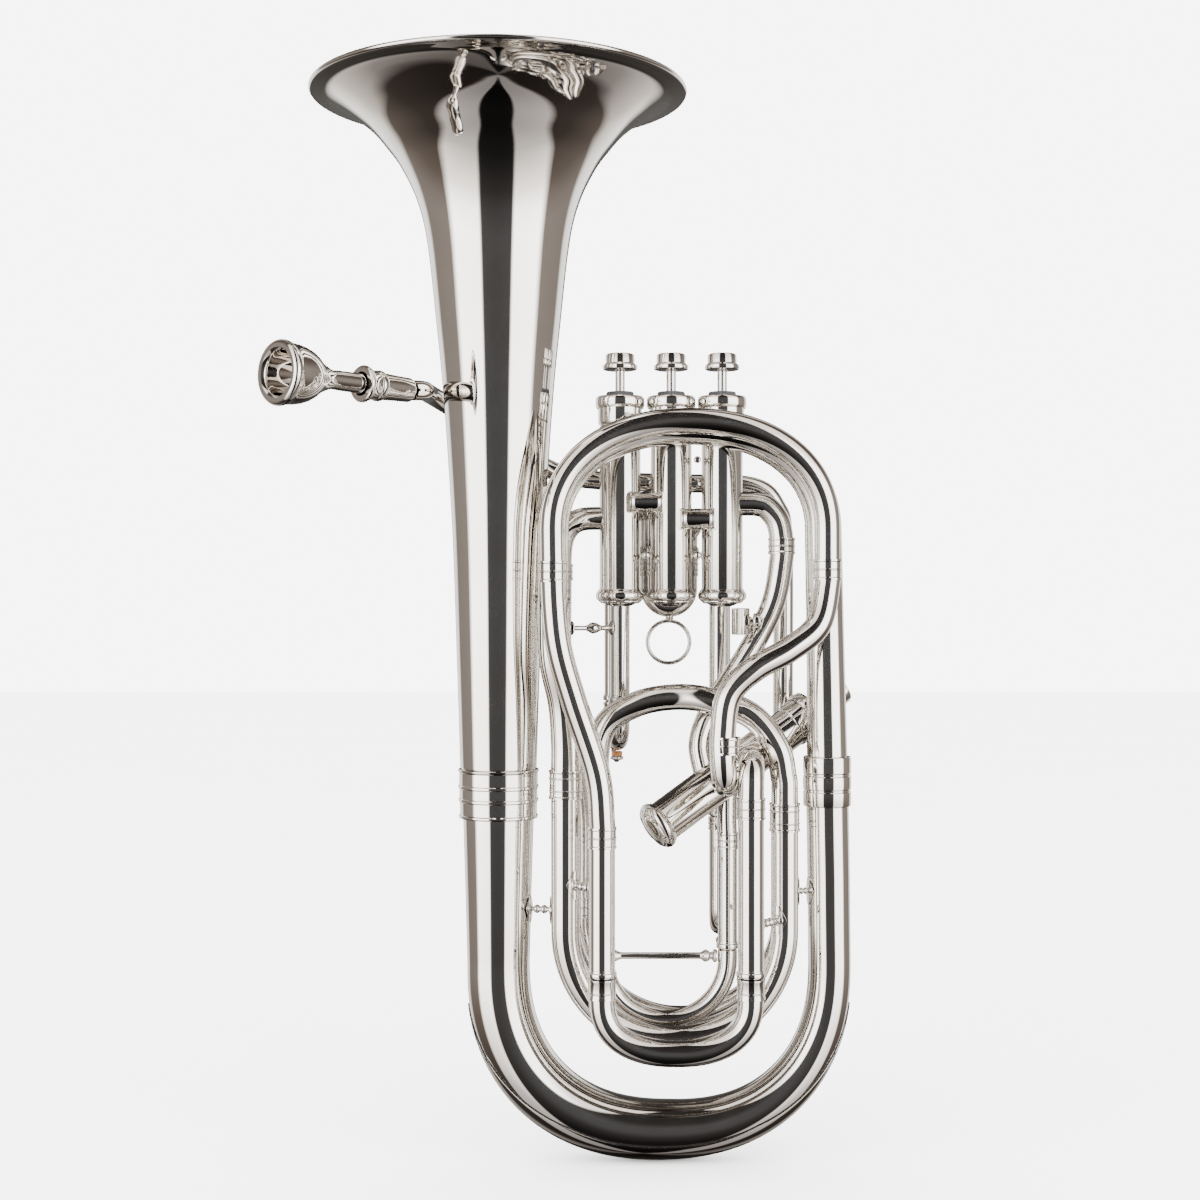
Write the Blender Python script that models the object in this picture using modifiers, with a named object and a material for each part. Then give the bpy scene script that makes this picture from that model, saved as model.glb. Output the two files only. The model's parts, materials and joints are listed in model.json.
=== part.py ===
"""Four-valve upright brass horn: tubes, piston valves, slides, mouthpiece and fittings.

Lengths are in millimetres here and become metres when a mesh is made.
X is to the right, Y is away from the player's front, Z is up.
"""
import math

import bpy
import bmesh
from mathutils import Matrix, Vector

MM = 0.001
GAP = 0.3                    # clearance between touching pieces
WALL = 0.6                   # tube wall

BELL_X = -106.3              # bell axis
BOW_HALF = 106.3             # half width of the bottom bow
BOW_SPRING_Z = 125.0
BOW_DEPTH = 106.3
RISER_X = 104.8              # right-hand end of the bottom bow

ARCH_X, ARCH_HALF, ARCH_Z, ARCH_RISE = 15.9, 86.4, 401.0, 66.6
LOWER_X, LOWER_HALF, LOWER_Z, LOWER_DEPTH = 6.9, 69.8, 148.0, 70.0

VALVE_X = (-28.0, 5.4, 38.7)
VALVE_Y = 20.0
VALVE_Z = 353.4              # lowest point of the bottom caps
CASING_R = 13.4
PISTON_R = 11.9
VALVE4_BASE = Vector((-10.0, -12.0, 210.3))
VALVE4_DIR = Vector((0.785, 0.306, 0.539)).normalized()

TUNING_X = (-38.5, 41.4)
TUNING_Y = 8.0
TUNING_R = 6.3
TUNING_END = 133.0           # lower end of the tuning slide sleeves
SLIDE4_X = (-39.9, 52.6)
SLIDE4_Y = -40.0
LOOP4_R = 8.2
SLIDE4_END = 124.0
SLIDE_R = 6.5                # first and third slides
SLIDE1_LEGS = ((-27.8, 42.0), (-31.6, 66.0))
SLIDE1_END, SLIDE1_LOW = 290.0, 263.5
SLIDE3_LEGS = ((38.0, 42.0), (41.0, 68.0))
SLIDE3_END, SLIDE3_LOW = 215.0, 140.0
SLIDE2_X = (-7.9, 17.5)
SLIDE2_Y = 42.0
SLIDE2_R = 6.2
SLIDE2_END = 388.0
SLIDE2_SPRING = 365.6

MOUTH = Vector((-226.3, -130.0, 488.3))
MOUTH_DIR = Vector((0.682, 0.731, -0.02)).normalized()

for old in list(bpy.data.objects):
    bpy.data.objects.remove(old, do_unlink=True)
PARTS = bpy.data.collections.new("upright_horn")
CUTTERS = bpy.data.collections.new("cutters")
bpy.context.scene.collection.children.link(PARTS)
bpy.context.scene.collection.children.link(CUTTERS)


# ---------------------------------------------------------------- helpers

def material(name, colour, metallic=1.0, roughness=0.2):
    mat = bpy.data.materials.new(name)
    mat.use_nodes = True
    shader = mat.node_tree.nodes["Principled BSDF"]
    shader.inputs["Base Color"].default_value = (*colour, 1.0)
    shader.inputs["Metallic"].default_value = metallic
    shader.inputs["Roughness"].default_value = roughness
    return mat


SILVER = (0.80, 0.78, 0.74)


def add(name, mesh, colour=SILVER, metallic=1.0, at=(0, 0, 0), turn=None, cutter=False):
    """Put a mesh in the scene as a part, or as a hidden cutter."""
    obj = bpy.data.objects.new(name, mesh)
    (CUTTERS if cutter else PARTS).objects.link(obj)
    if cutter:
        obj.hide_render = True
        obj.display_type = "WIRE"
    else:
        mesh.materials.clear()
        mesh.materials.append(material(name, colour, metallic))
    place = Matrix.Translation(Vector(at) * MM)
    obj.matrix_world = place @ turn.to_matrix().to_4x4() if turn else place
    return obj


def towards(direction):
    """Rotation that takes +Z to the direction."""
    return Vector((0, 0, 1)).rotation_difference(Vector(direction))


def turned(name, profile, steps=24, closed=False, cutter=False, **place):
    """Solid of revolution about local Z; the profile runs down the outer side."""
    mesh = bpy.data.meshes.new(name)
    points = [(r * MM, 0, z * MM) for r, z in profile]
    edges = [(i, i + 1) for i in range(len(points) - 1)]
    if closed:
        edges.append((len(points) - 1, 0))
    mesh.from_pydata(points, edges, [])
    obj = add(name, mesh, cutter=cutter, **place)
    screw = obj.modifiers.new("turn", "SCREW")
    screw.angle = 2 * math.pi
    screw.steps = screw.render_steps = steps
    screw.use_merge_vertices = True
    screw.merge_threshold = 0.00001
    return obj


def smooth(points, per=4):
    """Catmull-Rom curve through (x, y, z, radius) points."""
    ctrl = [Vector(p) for p in points]
    ctrl = [2 * ctrl[0] - ctrl[1]] + ctrl + [2 * ctrl[-1] - ctrl[-2]]
    path = []
    for i in range(1, len(ctrl) - 2):
        a, b, c, d = ctrl[i - 1:i + 3]
        for k in range(per):
            t = k / per
            path.append(0.5 * (2 * b + (c - a) * t + (2 * a - 5 * b + 4 * c - d) * t * t
                               + (3 * b - a - 3 * c + d) * t ** 3))
    return [tuple(p) for p in path + [ctrl[-2]]]


def arch(cx, half, z0, rise, power, y0, y1, r0, r1, count):
    """Superellipse from the right-hand foot over to the left; negative rise makes a bow."""
    path = []
    for i in range(count + 1):
        f = i / count
        t = math.pi * f
        c, s = math.cos(t), math.sin(t)
        x = cx + math.copysign(half * abs(c) ** (2 / power), c)
        z = z0 + rise * abs(s) ** (2 / power)
        path.append((x, y0 + (y1 - y0) * f, z, r0 + (r1 - r0) * f))
    return path


def raw_tube(path, res, caps):
    """Mesh of a round tube swept along (x, y, z, radius) points."""
    curve = bpy.data.curves.new("sweep", "CURVE")
    curve.dimensions = "3D"
    curve.bevel_depth = MM
    curve.bevel_resolution = res
    curve.use_fill_caps = caps
    spline = curve.splines.new("POLY")
    spline.points.add(len(path) - 1)
    for point, (x, y, z, r) in zip(spline.points, path):
        point.co = (x * MM, y * MM, z * MM, 1)
        point.radius = r
    temp = bpy.data.objects.new("sweep", curve)
    bpy.context.scene.collection.objects.link(temp)
    bpy.context.view_layer.update()
    mesh = bpy.data.meshes.new_from_object(temp.evaluated_get(bpy.context.evaluated_depsgraph_get()))
    bpy.data.objects.remove(temp, do_unlink=True)
    edit = bmesh.new()
    edit.from_mesh(mesh)
    bmesh.ops.remove_doubles(edit, verts=edit.verts, dist=0.00001)
    bmesh.ops.recalc_face_normals(edit, faces=edit.faces)
    edit.to_mesh(mesh)
    edit.free()
    return mesh


def tube(name, path, wall=WALL, res=2, origin=(0, 0, 0), **place):
    """Hollow tube, or a solid rod when the wall is 0."""
    path = [(x - origin[0], y - origin[1], z - origin[2], r) for x, y, z, r in path]
    obj = add(name, raw_tube(path, res, wall == 0), **{"at": origin, **place})
    if wall:
        shell = obj.modifiers.new("wall", "SOLIDIFY")
        shell.thickness = wall * MM
        shell.offset = -1
        shell.use_even_offset = True
    return obj


def combine(obj, other, how):
    mod = obj.modifiers.new(how.lower(), "BOOLEAN")
    mod.solver = "EXACT"
    mod.operation = how
    mod.object = other
    return obj


def rod(name, start, end, radius, sides=12):
    """Cutter cylinder between two points."""
    start, end = Vector(start), Vector(end)
    mesh = bpy.data.meshes.new(name)
    edit = bmesh.new()
    bmesh.ops.create_cone(edit, cap_ends=True, segments=sides, radius1=radius * MM,
                          radius2=radius * MM, depth=(end - start).length * MM)
    edit.to_mesh(mesh)
    edit.free()
    return add(name, mesh, at=(start + end) / 2, turn=towards(end - start), cutter=True)


def saddle(obj, base, axis, radius, length=140.0):
    """Trim a tube end to fit round a valve casing."""
    base, axis = Vector(base), Vector(axis)
    return combine(obj, rod(obj.name + "_fit", base, base + axis * length, radius, 32), "DIFFERENCE")


def box(name, low, high):
    low, high = Vector(low), Vector(high)
    mesh = bpy.data.meshes.new(name)
    edit = bmesh.new()
    bmesh.ops.create_cube(edit, size=1.0, matrix=Matrix.Diagonal((*((high - low) * MM), 1)))
    edit.to_mesh(mesh)
    edit.free()
    return add(name, mesh, at=(low + high) / 2, cutter=True)


def straight(x, y, z0, z1, r):
    return [(x, y, z0, r), (x, y, z1, r)]


# ------------------------------------------------------ bell and bottom bow

BELL_OUT = [(119.6, 685.0), (120.9, 683.7), (119.9, 682.3), (116.0, 682.0), (109.0, 679.3),
            (99.5, 673.9), (91.0, 667.9), (81.6, 660.0), (73.0, 650.0), (62.7, 636.0),
            (52.0, 613.5), (45.5, 586.0), (39.8, 535.0), (36.0, 497.5), (32.5, 450.0),
            (29.2, 393.0), (26.7, 319.0), (24.6, 251.2), (23.4, 250.6), (23.1, 234.2)]
BELL_IN = [(22.5, 234.2), (24.0, 251.2), (26.1, 319.0), (28.6, 393.0), (31.9, 450.0),
           (35.4, 497.5), (39.2, 535.0), (44.9, 586.2), (51.4, 613.9), (62.2, 636.6),
           (72.5, 650.7), (90.7, 668.7), (108.8, 680.1), (117.0, 685.0)]
turned("bell", BELL_OUT + BELL_IN, steps=24, closed=True, at=(BELL_X, 0, 0))


def banded(name, x, z0, z1, grooves, r_in, r_out, steps):
    """Ferrule with turned ring lines."""
    out = [(r_out - 0.6, z1), (r_out, z1 - 0.8)]
    for g in grooves:
        out += [(r_out, g + 0.7), (r_out - 0.7, g), (r_out, g - 0.7)]
    out += [(r_out, z0 + 0.8), (r_out - 0.6, z0), (r_in, z0), (r_in, z1)]
    return turned(name, out, steps, closed=True, at=(x, 0, 0))


banded("bell_ferrule", BELL_X, 218.2, 250.3, (238.5, 230.0), 24.1, 25.8, 20)
banded("bow_ferrule", RISER_X, 225.6, 258.0, (246.2, 236.1), 14.2, 15.6, 16)


def bow_radius(f):
    """Bottom bow radius from the right-hand foot (0) to the left-hand foot (1)."""
    return 13.6 + 0.2 * f + 9.6 * f * f * (3 - 2 * f) - 3.4 * max(0.0, f - 0.5) * 2


BOW = [(x, y, z, bow_radius(i / 18)) for i, (x, y, z, r) in
       enumerate(arch(0, BOW_HALF, BOW_SPRING_Z, -BOW_DEPTH, 2.3, 0, 0, 1, 1, 18))]
tube("bottom_bow", [(RISER_X, 0, 241.0, 13.6), (RISER_X + 1.0, 0, 180.0, 13.6)] + BOW
     + [(-BOW_HALF, 0, 165.0, 21.0), (BELL_X, 0, 218.0, 22.6), (BELL_X, 0, 233.8, 22.6)], res=4)


def guard_mesh():
    """Thin wear plate round the outside of the bottom bow, narrowing to a tip at each end."""
    mesh = bpy.data.meshes.new("bow_guard")
    edit = bmesh.new()
    across, rows = 8, []
    for i in range(1, 18):
        x, _, z, r = BOW[i]
        tangent = Vector((BOW[i + 1][0] - BOW[i - 1][0], 0, BOW[i + 1][2] - BOW[i - 1][2])).normalized()
        out = Vector((tangent.z, 0, -tangent.x))
        if out.dot(Vector((x, 0, z - BOW_SPRING_Z))) < 0:
            out.negate()
        f = (i - 1) / 16
        half = math.radians(6 + 62 * min(1.0, 4.6 * f * (1 - f)) ** 0.8)
        row = []
        for k in range(across + 1):
            a = half * (2 * k / across - 1)
            p = Vector((x, 0, z)) + (r + 0.7) * (out * math.cos(a) + Vector((0, 1, 0)) * math.sin(a))
            row.append(edit.verts.new(p * MM))
        rows.append(row)
    for a, b in zip(rows, rows[1:]):
        for k in range(across):
            edit.faces.new((a[k], a[k + 1], b[k + 1], b[k]))
    bmesh.ops.recalc_face_normals(edit, faces=edit.faces)
    if sum(f.normal.z for f in edit.faces) > 0:
        bmesh.ops.reverse_faces(edit, faces=edit.faces)
    edit.to_mesh(mesh)
    edit.free()
    return mesh


guard = add("bow_guard", guard_mesh())
plate = guard.modifiers.new("plate", "SOLIDIFY")
plate.thickness, plate.offset, plate.use_even_offset = 0.8 * MM, 1, True

# ----------------------------------------------------------- main branches

tube("main_branch", [(RISER_X, 0, 241.3, 13.2), (RISER_X, 0, 258.0, 13.0), (103.8, 0, 322, 12.2)]
     + arch(ARCH_X, ARCH_HALF, ARCH_Z, ARCH_RISE, 2.2, 0, -22, 11.8, 9.8, 12)
     + smooth([(-70.5, -22, 345, 9.8), (-69.5, -20.8, 318, 9.8), (-64.5, -15.4, 292, 9.6),
               (-62.9, -14, 268, 9.4), (-62.9, -14, 250.5, 9.4)], 2)
     + [(-62.9, -14, 250, 10.8), (-62.9, -14, 241.3, 10.8)], res=3)
tube("lower_bow", [(-62.9, -14, 241.0, 10.8), (-62.9, -14, 232.0, 10.8), (-62.9, -14, 231.5, 9.3)]
     + [(x, y, z, r) for x, y, z, r in
        reversed(arch(LOWER_X, LOWER_HALF, LOWER_Z, -LOWER_DEPTH, 2.05, -8, -14, 8.7, 9.2, 12))]
     + [(76.7, -8, 210.5, 8.7), (76.7, -8, 211, 9.7), (76.7, -8, 219.6, 9.7)])
tube("crossover_arch", [(76.7, -8, 219.9, 9.7), (76.7, -8, 228.5, 9.7), (76.7, -8, 229, 8.5)]
     + smooth([(76.7, -8, 242, 8.5), (72, -7, 263.5, 8.5), (56, -5, 283.8, 8.5),
               (30.6, -3.8, 293.3, 8.5), (7.2, 1.5, 295.6, 8.4), (-17.9, 4.8, 290.6, 8.4),
               (-38, 6.5, 276.6, 8.2), (-43, 7.5, 251.3, 7.8), (-39, 8, 215, 6.8),
               (TUNING_X[0], 8, 203.3, 6.6)], 2))

# ------------------------------------------------------------ tuning slide

tube("tuning_sleeve_left", straight(TUNING_X[0], TUNING_Y, 203.0, 139.0, TUNING_R)
     + straight(TUNING_X[0], TUNING_Y, 138.0, TUNING_END, 7.4), wall=0.6)
tube("tuning_sleeve_right", smooth([(44.5, 10.5, 247, 6.6), (40.6, 8.2, 232, 6.6),
                                    (41.0, 8, 219, 6.4), (TUNING_X[1], TUNING_Y, 206, 6.3)], 2)
     + straight(TUNING_X[1], TUNING_Y, 205.0, 199.0, 7.3)
     + straight(TUNING_X[1], TUNING_Y, 198.0, 139.0, TUNING_R)
     + straight(TUNING_X[1], TUNING_Y, 138.0, TUNING_END, 7.4), wall=0.6)

slide_bow_z = 126.3
tuning = tube("tuning_slide", straight(TUNING_X[1], TUNING_Y, 186.0, 132.8, 5.2)
              + [(TUNING_X[1], TUNING_Y, 131.6, TUNING_R)]
              + arch(1.45, 39.95, slide_bow_z, -40.0, 2.0, TUNING_Y, TUNING_Y, TUNING_R, TUNING_R, 12)
              + [(TUNING_X[0], TUNING_Y, 131.6, TUNING_R)]
              + straight(TUNING_X[0], TUNING_Y, 132.8, 186.0, 5.2), wall=0.6,
              origin=(1.45, TUNING_Y, slide_bow_z))
turned("tuning_slide_rod", [(0, 66.4), (3.6, 66.4), (4.2, 64.5), (2.4, 62.0), (4.0, 59.5), (3.0, 57.0),
                            (2.2, 54.0), (2.2, 5.0), (3.4, 1.6), (3.4, 0.0), (0, 0)], 10,
       at=(TUNING_X[0] + TUNING_R + 0.4, TUNING_Y, 128.0), turn=towards((1, 0, 0)))

# ------------------------------------------------- fourth valve and its loop


def along4(t):
    """Point on the fourth valve's axis."""
    return VALVE4_BASE + VALVE4_DIR * t


branch_start, branch_end = along4(60), along4(82)
loop4 = tube("loop4_branch", [(branch_start.x, branch_start.y, branch_start.z, LOOP4_R),
                              (branch_start.x, -26, 242.8, LOOP4_R)]
             + smooth([(36.5, -36, 245.5, 8.2), (35.3, -40, 256, 8.2), (35, -40, 274, 8.2),
                       (38.9, -40, 299, 8.2), (55.1, -39, 315.2, 8.2), (76.8, -35, 327, 8.2),
                       (95.4, -30, 342.3, 8.2), (101.8, -25, 367, 8.2)], 2)
             + [(102, -24, 371, 9.3), (102, -24, 381, 9.3), (102, -24, 382, 8.2)]
             + arch(15.75, 86.25, 401.7, 68.1, 2.2, -24, -44, 8.2, 8.2, 12)
             + [(-70.3, -44, 384, 8.2), (-70.2, -44, 383, 9.3), (-70, -44, 369, 9.3), (-69.9, -44, 368, 8.2)]
             + smooth([(-69.4, -44, 355, 8.2), (-66.2, -43.4, 327, 8.2), (-57.2, -42, 295, 8.2),
                       (-43, -40.4, 251, 8.2), (-39.9, -40, 220, 8.2)], 2)
             + [(SLIDE4_X[0], SLIDE4_Y, 219, 9.2), (SLIDE4_X[0], SLIDE4_Y, 207.3, 9.2)])
saddle(loop4, along4(-5), VALVE4_DIR, CASING_R + GAP)
tube("slide4_sleeve_left", straight(SLIDE4_X[0], SLIDE4_Y, 207.0, 131.0, LOOP4_R)
     + straight(SLIDE4_X[0], SLIDE4_Y, 130.0, SLIDE4_END, 9.2), wall=0.6)
sleeve = tube("slide4_sleeve_right", [(branch_end.x, branch_end.y, branch_end.z, LOOP4_R),
                                      (53.8, -26, 256.0, LOOP4_R)]
              + smooth([(53.4, -35, 254.5, 8.2), (52.8, -39.4, 247, 8.2), (SLIDE4_X[1], SLIDE4_Y, 236, 8.2)], 2)
              + [(SLIDE4_X[1], SLIDE4_Y, 235, 9.2), (SLIDE4_X[1], SLIDE4_Y, 224, 9.2)]
              + straight(SLIDE4_X[1], SLIDE4_Y, 223.0, 131.0, LOOP4_R)
              + straight(SLIDE4_X[1], SLIDE4_Y, 130.0, SLIDE4_END, 9.2), wall=0.6)
saddle(sleeve, along4(-5), VALVE4_DIR, CASING_R + GAP)
tube("slide4_bow", straight(SLIDE4_X[1], SLIDE4_Y, 184.0, 123.8, 7.0)
     + [(SLIDE4_X[1], SLIDE4_Y, 122.6, 8.9), (SLIDE4_X[1], SLIDE4_Y, 111.0, 8.9)]
     + arch(6.35, 46.25, 109.8, -33.5, 2.35, SLIDE4_Y, SLIDE4_Y, LOOP4_R, LOOP4_R, 12)
     + [(SLIDE4_X[0], SLIDE4_Y, 111.0, 8.9), (SLIDE4_X[0], SLIDE4_Y, 122.6, 8.9)]
     + straight(SLIDE4_X[0], SLIDE4_Y, 123.8, 184.0, 7.0), wall=0.6, origin=(6.35, SLIDE4_Y, 109.8))

# ----------------------------------------------------------- piston valves


def valve(n, base, direction):
    """Casing, caps, piston with stem and button, and return spring, from the bottom up."""
    here = dict(at=base, turn=towards(direction))
    turned("bottom_cap_%d" % n, [(0, 2.4), (12.4, 3.2), (13.8, 3.2), (13.8, 11.1), (14.8, 11.1),
                                 (15.3, 10.0), (15.3, 4.6), (14.4, 3.2), (9.0, 0.7), (0, 0)], 16, **here)
    turned("casing_%d" % n, [(14.2, 134.9), (14.2, 119.8), (13.4, 119.0), (13.4, 3.7), (12.4, 3.7),
                             (12.4, 134.9)], 16, closed=True, **here)
    turned("top_cap_%d" % n, [(4.2, 137.6), (14.2, 137.6), (15.4, 136.9), (15.9, 135.6), (15.9, 131.0),
                              (15.2, 129.6), (14.7, 129.6), (14.7, 135.3), (4.2, 135.3)], 16,
           closed=True, **here)
    piston = turned("piston_%d" % n, [(0, 165.6), (8.6, 165.6), (9.4, 164.8), (9.4, 159.0), (11.2, 158.1),
                                      (11.2, 155.0), (10.6, 154.6), (3.5, 154.6), (3.5, 119.5), (5.5, 117.6),
                                      (PISTON_R, 117.0), (PISTON_R, 44.0), (11.1, 44.0), (11.1, 114.0),
                                      (0, 115.0)], 16, **here)
    coil = []
    for i in range(29):
        a = math.radians(60) * i
        coil.append((8.3 * math.cos(a), 8.3 * math.sin(a), 4.9 + 37.7 * i / 28, 0.7))
    tube("return_spring_%d" % n, coil, wall=0, res=0, **here)
    return piston


for number, x in enumerate(VALVE_X, 1):
    valve(number, Vector((x, VALVE_Y, VALVE_Z)), Vector((0, 0, 1)))
valve(4, VALVE4_BASE, VALVE4_DIR)
UP = Vector((0, 0, 1))


def fit_to_valve(obj, n):
    x = VALVE_X[n - 1]
    return saddle(obj, (x, VALVE_Y, VALVE_Z), UP, CASING_R + GAP)


for n, z in ((1, 421.4), (2, 410.5)):
    a, b, y = VALVE_X[n - 1] + 6.6, VALVE_X[n] - 6.6, VALVE_Y - 11.2
    link = tube("valve_link_%d%d" % (n, n + 1), [(a, y, z, 6.3), (a + 2, y, z, 6.8), (b - 2, y, z, 6.8),
                                                (b, y, z, 6.3)], res=3)
    fit_to_valve(link, n)
    fit_to_valve(link, n + 1)

# ------------------------------------------------------ first and third slides


def slide_pair(n, valve_n, legs, end, low, inner_top):
    """Two sleeves out of the back of a valve, tied by a strut, and the bow that slides in them."""
    (xa, ya), (xb, yb) = legs
    vx = VALVE_X[valve_n - 1]
    front = tube("slide%d_sleeves" % n,
                 [(vx, VALVE_Y, 392.6, SLIDE_R), (vx, 32.6, 392.6, SLIDE_R), (xa, 37.6, 391.2, SLIDE_R),
                  (xa, 41.0, 387.4, SLIDE_R), (xa, ya, 382, SLIDE_R)]
                 + straight(xa, ya, end + 6, end + 5.5, SLIDE_R)
                 + straight(xa, ya, end + 4.5, end, SLIDE_R + 1), wall=0.6)
    rear = tube("slide%d_sleeve_rear" % n,
                [(vx, VALVE_Y, 417.5, SLIDE_R), (xb, yb - 12, 417.5, SLIDE_R), (xb, yb - 6, 415.6, SLIDE_R),
                 (xb, yb - 1.5, 410.5, SLIDE_R), (xb, yb, 404, SLIDE_R)]
                + straight(xb, yb, end + 6, end + 5.5, SLIDE_R)
                + straight(xb, yb, end + 4.5, end, SLIDE_R + 1), wall=0.6, cutter=True)
    out = (Vector((xb, yb, 0)) - Vector((xa, ya, 0))).normalized() * (SLIDE_R - 0.5)
    strut = rod("slide%d_strut" % n, Vector((xa, ya, end + 40)) + out, Vector((xb, yb, end + 40)) - out, 1.8, 8)
    combine(front, rear, "UNION")
    combine(front, strut, "UNION")
    fit_to_valve(front, valve_n)
    half = (yb - ya) / 2
    bow = []
    for x, y, z, r in arch(0, half, low + half, -half, 2.0, 0, 0, SLIDE_R, SLIDE_R, 8):
        bow.append((xa + (xb - xa) * (half - x) / (2 * half), ya + half - x, z, r))
    return tube("slide%d_bow" % n, straight(xa, ya, inner_top, end - 0.2, 5.4)
                + [(xa, ya, end - 1.4, SLIDE_R)] + bow + [(xb, yb, end - 1.4, SLIDE_R)]
                + straight(xb, yb, end - 0.2, inner_top, 5.4), wall=0.6,
                origin=((xa + xb) / 2, (ya + yb) / 2, end))


slide_pair(1, 1, SLIDE1_LEGS, SLIDE1_END, SLIDE1_LOW, 376.0)
slide_pair(3, 3, SLIDE3_LEGS, SLIDE3_END, SLIDE3_LOW, 300.0)

# ------------------------------------------------------------ second slide


def knuckle(name, x, z):
    """Ball-shaped knuckle on the valve with its slide sleeve hanging below."""
    body = turned(name, [(0, 7.5), (4.0, 7.2), (7.4, 5.4), (9.3, 2.6), (9.3, -2.6), (7.6, -5.6),
                         (SLIDE2_R, -7.0), (SLIDE2_R, SLIDE2_END + 4 - z), (7.2, SLIDE2_END + 3 - z),
                         (7.2, SLIDE2_END - z), (5.6, SLIDE2_END - z), (5.6, 2.0), (3.6, 5.2), (0, 6.0)],
                  12, at=(x, SLIDE2_Y, z))
    neck = rod(name + "_neck", (x, SLIDE2_Y, z), (VALVE_X[1], VALVE_Y, z), 5.8)
    combine(body, neck, "UNION")
    combine(body, rod(name + "_inside", (x, SLIDE2_Y, SLIDE2_END - 5), (x, SLIDE2_Y, z + 3.1), 5.75, 14),
            "DIFFERENCE")
    combine(body, rod(name + "_bore", (x, SLIDE2_Y, z), (VALVE_X[1], VALVE_Y, z), 4.6), "DIFFERENCE")
    return fit_to_valve(body, 2)


knuckle("slide2_knuckle_left", SLIDE2_X[0], 418.0)
knuckle("slide2_knuckle_right", SLIDE2_X[1], 407.0)
slide2_mid = (SLIDE2_X[0] + SLIDE2_X[1]) / 2
slide2_half = (SLIDE2_X[1] - SLIDE2_X[0]) / 2
tube("slide2_bow", straight(SLIDE2_X[1], SLIDE2_Y, 403.0, SLIDE2_END - 0.2, 5.2)
     + [(SLIDE2_X[1], SLIDE2_Y, SLIDE2_END - 1.4, SLIDE2_R)]
     + arch(slide2_mid, slide2_half, SLIDE2_SPRING, -slide2_half, 2.0, SLIDE2_Y, SLIDE2_Y,
            SLIDE2_R, SLIDE2_R, 10)
     + [(SLIDE2_X[0], SLIDE2_Y, SLIDE2_END - 1.4, SLIDE2_R)]
     + straight(SLIDE2_X[0], SLIDE2_Y, SLIDE2_END - 0.2, 403.0, 5.2), wall=0.6,
     origin=(slide2_mid, SLIDE2_Y, SLIDE2_END))
RING_X, RING_Z, RING_R = 4.5, 330.1, 14.0
circle = [(RING_X + RING_R * math.sin(math.radians(a)), SLIDE2_Y, RING_Z + RING_R * math.cos(math.radians(a)), 1.25)
          for a in range(8, 353, 20)]
ring2 = tube("slide2_pull_ring", circle + [(RING_X - 0.9, SLIDE2_Y, RING_Z + RING_R, 1.25)], wall=0, res=1)
combine(ring2, rod("slide2_ring_post", (RING_X + 0.6, SLIDE2_Y, RING_Z + RING_R - 0.6),
                   (RING_X + 0.6, SLIDE2_Y, SLIDE2_SPRING - slide2_half - SLIDE2_R - GAP), 2.2, 8), "UNION")

# ---------------------------------------------------- valve-to-valve crook

crook = tube("valve_crook", [(VALVE_X[2], VALVE_Y, 421, 8.0), (58.5, VALVE_Y, 421, 8.0)]
             + smooth([(67.5, 20, 419, 8.0), (75.2, 20, 409.5, 8.0), (77.6, 20, 398.8, 8.0)], 2)
             + [(77.6, 20, 398, 9.0), (77.6, 20, 388, 9.0)]
             + smooth([(77.5, 20, 387, 8.0), (72.6, 19.5, 358, 7.8), (61.5, 18.5, 333.8, 7.7),
                       (44, 16.5, 305.5, 7.5), (30.4, 14.6, 285.2, 7.3), (23.4, 11.5, 265, 7.2),
                       (26.5, 8.5, 247, 7.2), (30.3, 4.6, 238.6, 7.2)], 2))
fit_to_valve(crook, 3)
saddle(crook, along4(-5), VALVE4_DIR, CASING_R + GAP)
saddle(bpy.data.objects["tuning_sleeve_right"], along4(-5), VALVE4_DIR, CASING_R + GAP)

# ---------------------------------------- mouthpiece, receiver and leadpipe

aim = dict(at=MOUTH, turn=towards(-MOUTH_DIR))
turned("mouthpiece", [(14.5, 0.0), (17.6, -0.2), (19.3, -1.6), (19.5, -3.4), (18.6, -5.2), (17.7, -9.0),
                      (16.8, -16.0), (15.0, -22.0), (11.0, -28.0), (7.6, -33.0), (5.6, -39.0), (6.0, -61.0),
                      (5.2, -82.0), (4.2, -82.0), (2.8, -32.0), (3.0, -27.0), (6.0, -23.0), (10.2, -16.0),
                      (12.4, -6.0), (12.9, -1.6)], 16, closed=True, **aim)
turned("receiver", [(7.0, -62.4), (10.6, -62.6), (11.2, -64.5), (10.2, -69.0), (8.4, -72.5), (9.2, -74.0),
                    (9.2, -77.0), (8.2, -78.5), (7.6, -100.0), (6.5, -100.0)], 18, closed=True, **aim)
joint = MOUTH + MOUTH_DIR * 101.0
tube("leadpipe", smooth([(joint.x, joint.y, joint.z, 6.2), (-151.5, -34, 488.5, 6.2), (-151, 0, 490.5, 6.2),
                         (-139, 31, 485, 6.2), (-106, 47, 466, 6.2), (-76, 47.5, 446, 6.2),
                         (-49, 46, 438.5, 6.2), (8, 46, 436, 6.2), (60, 47, 434, 6.3),
                         (77, 49, 420, 6.4), (81.5, 50, 396, 6.5)], 2)
     + [(x, y, z, r) for x, y, z, r in
        arch(13.2, 68.2, 150, -68, 2.0, 50, 25, 6.9, 7.2, 12)] + [(-55, 25, 156.7, 7.2)])
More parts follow.
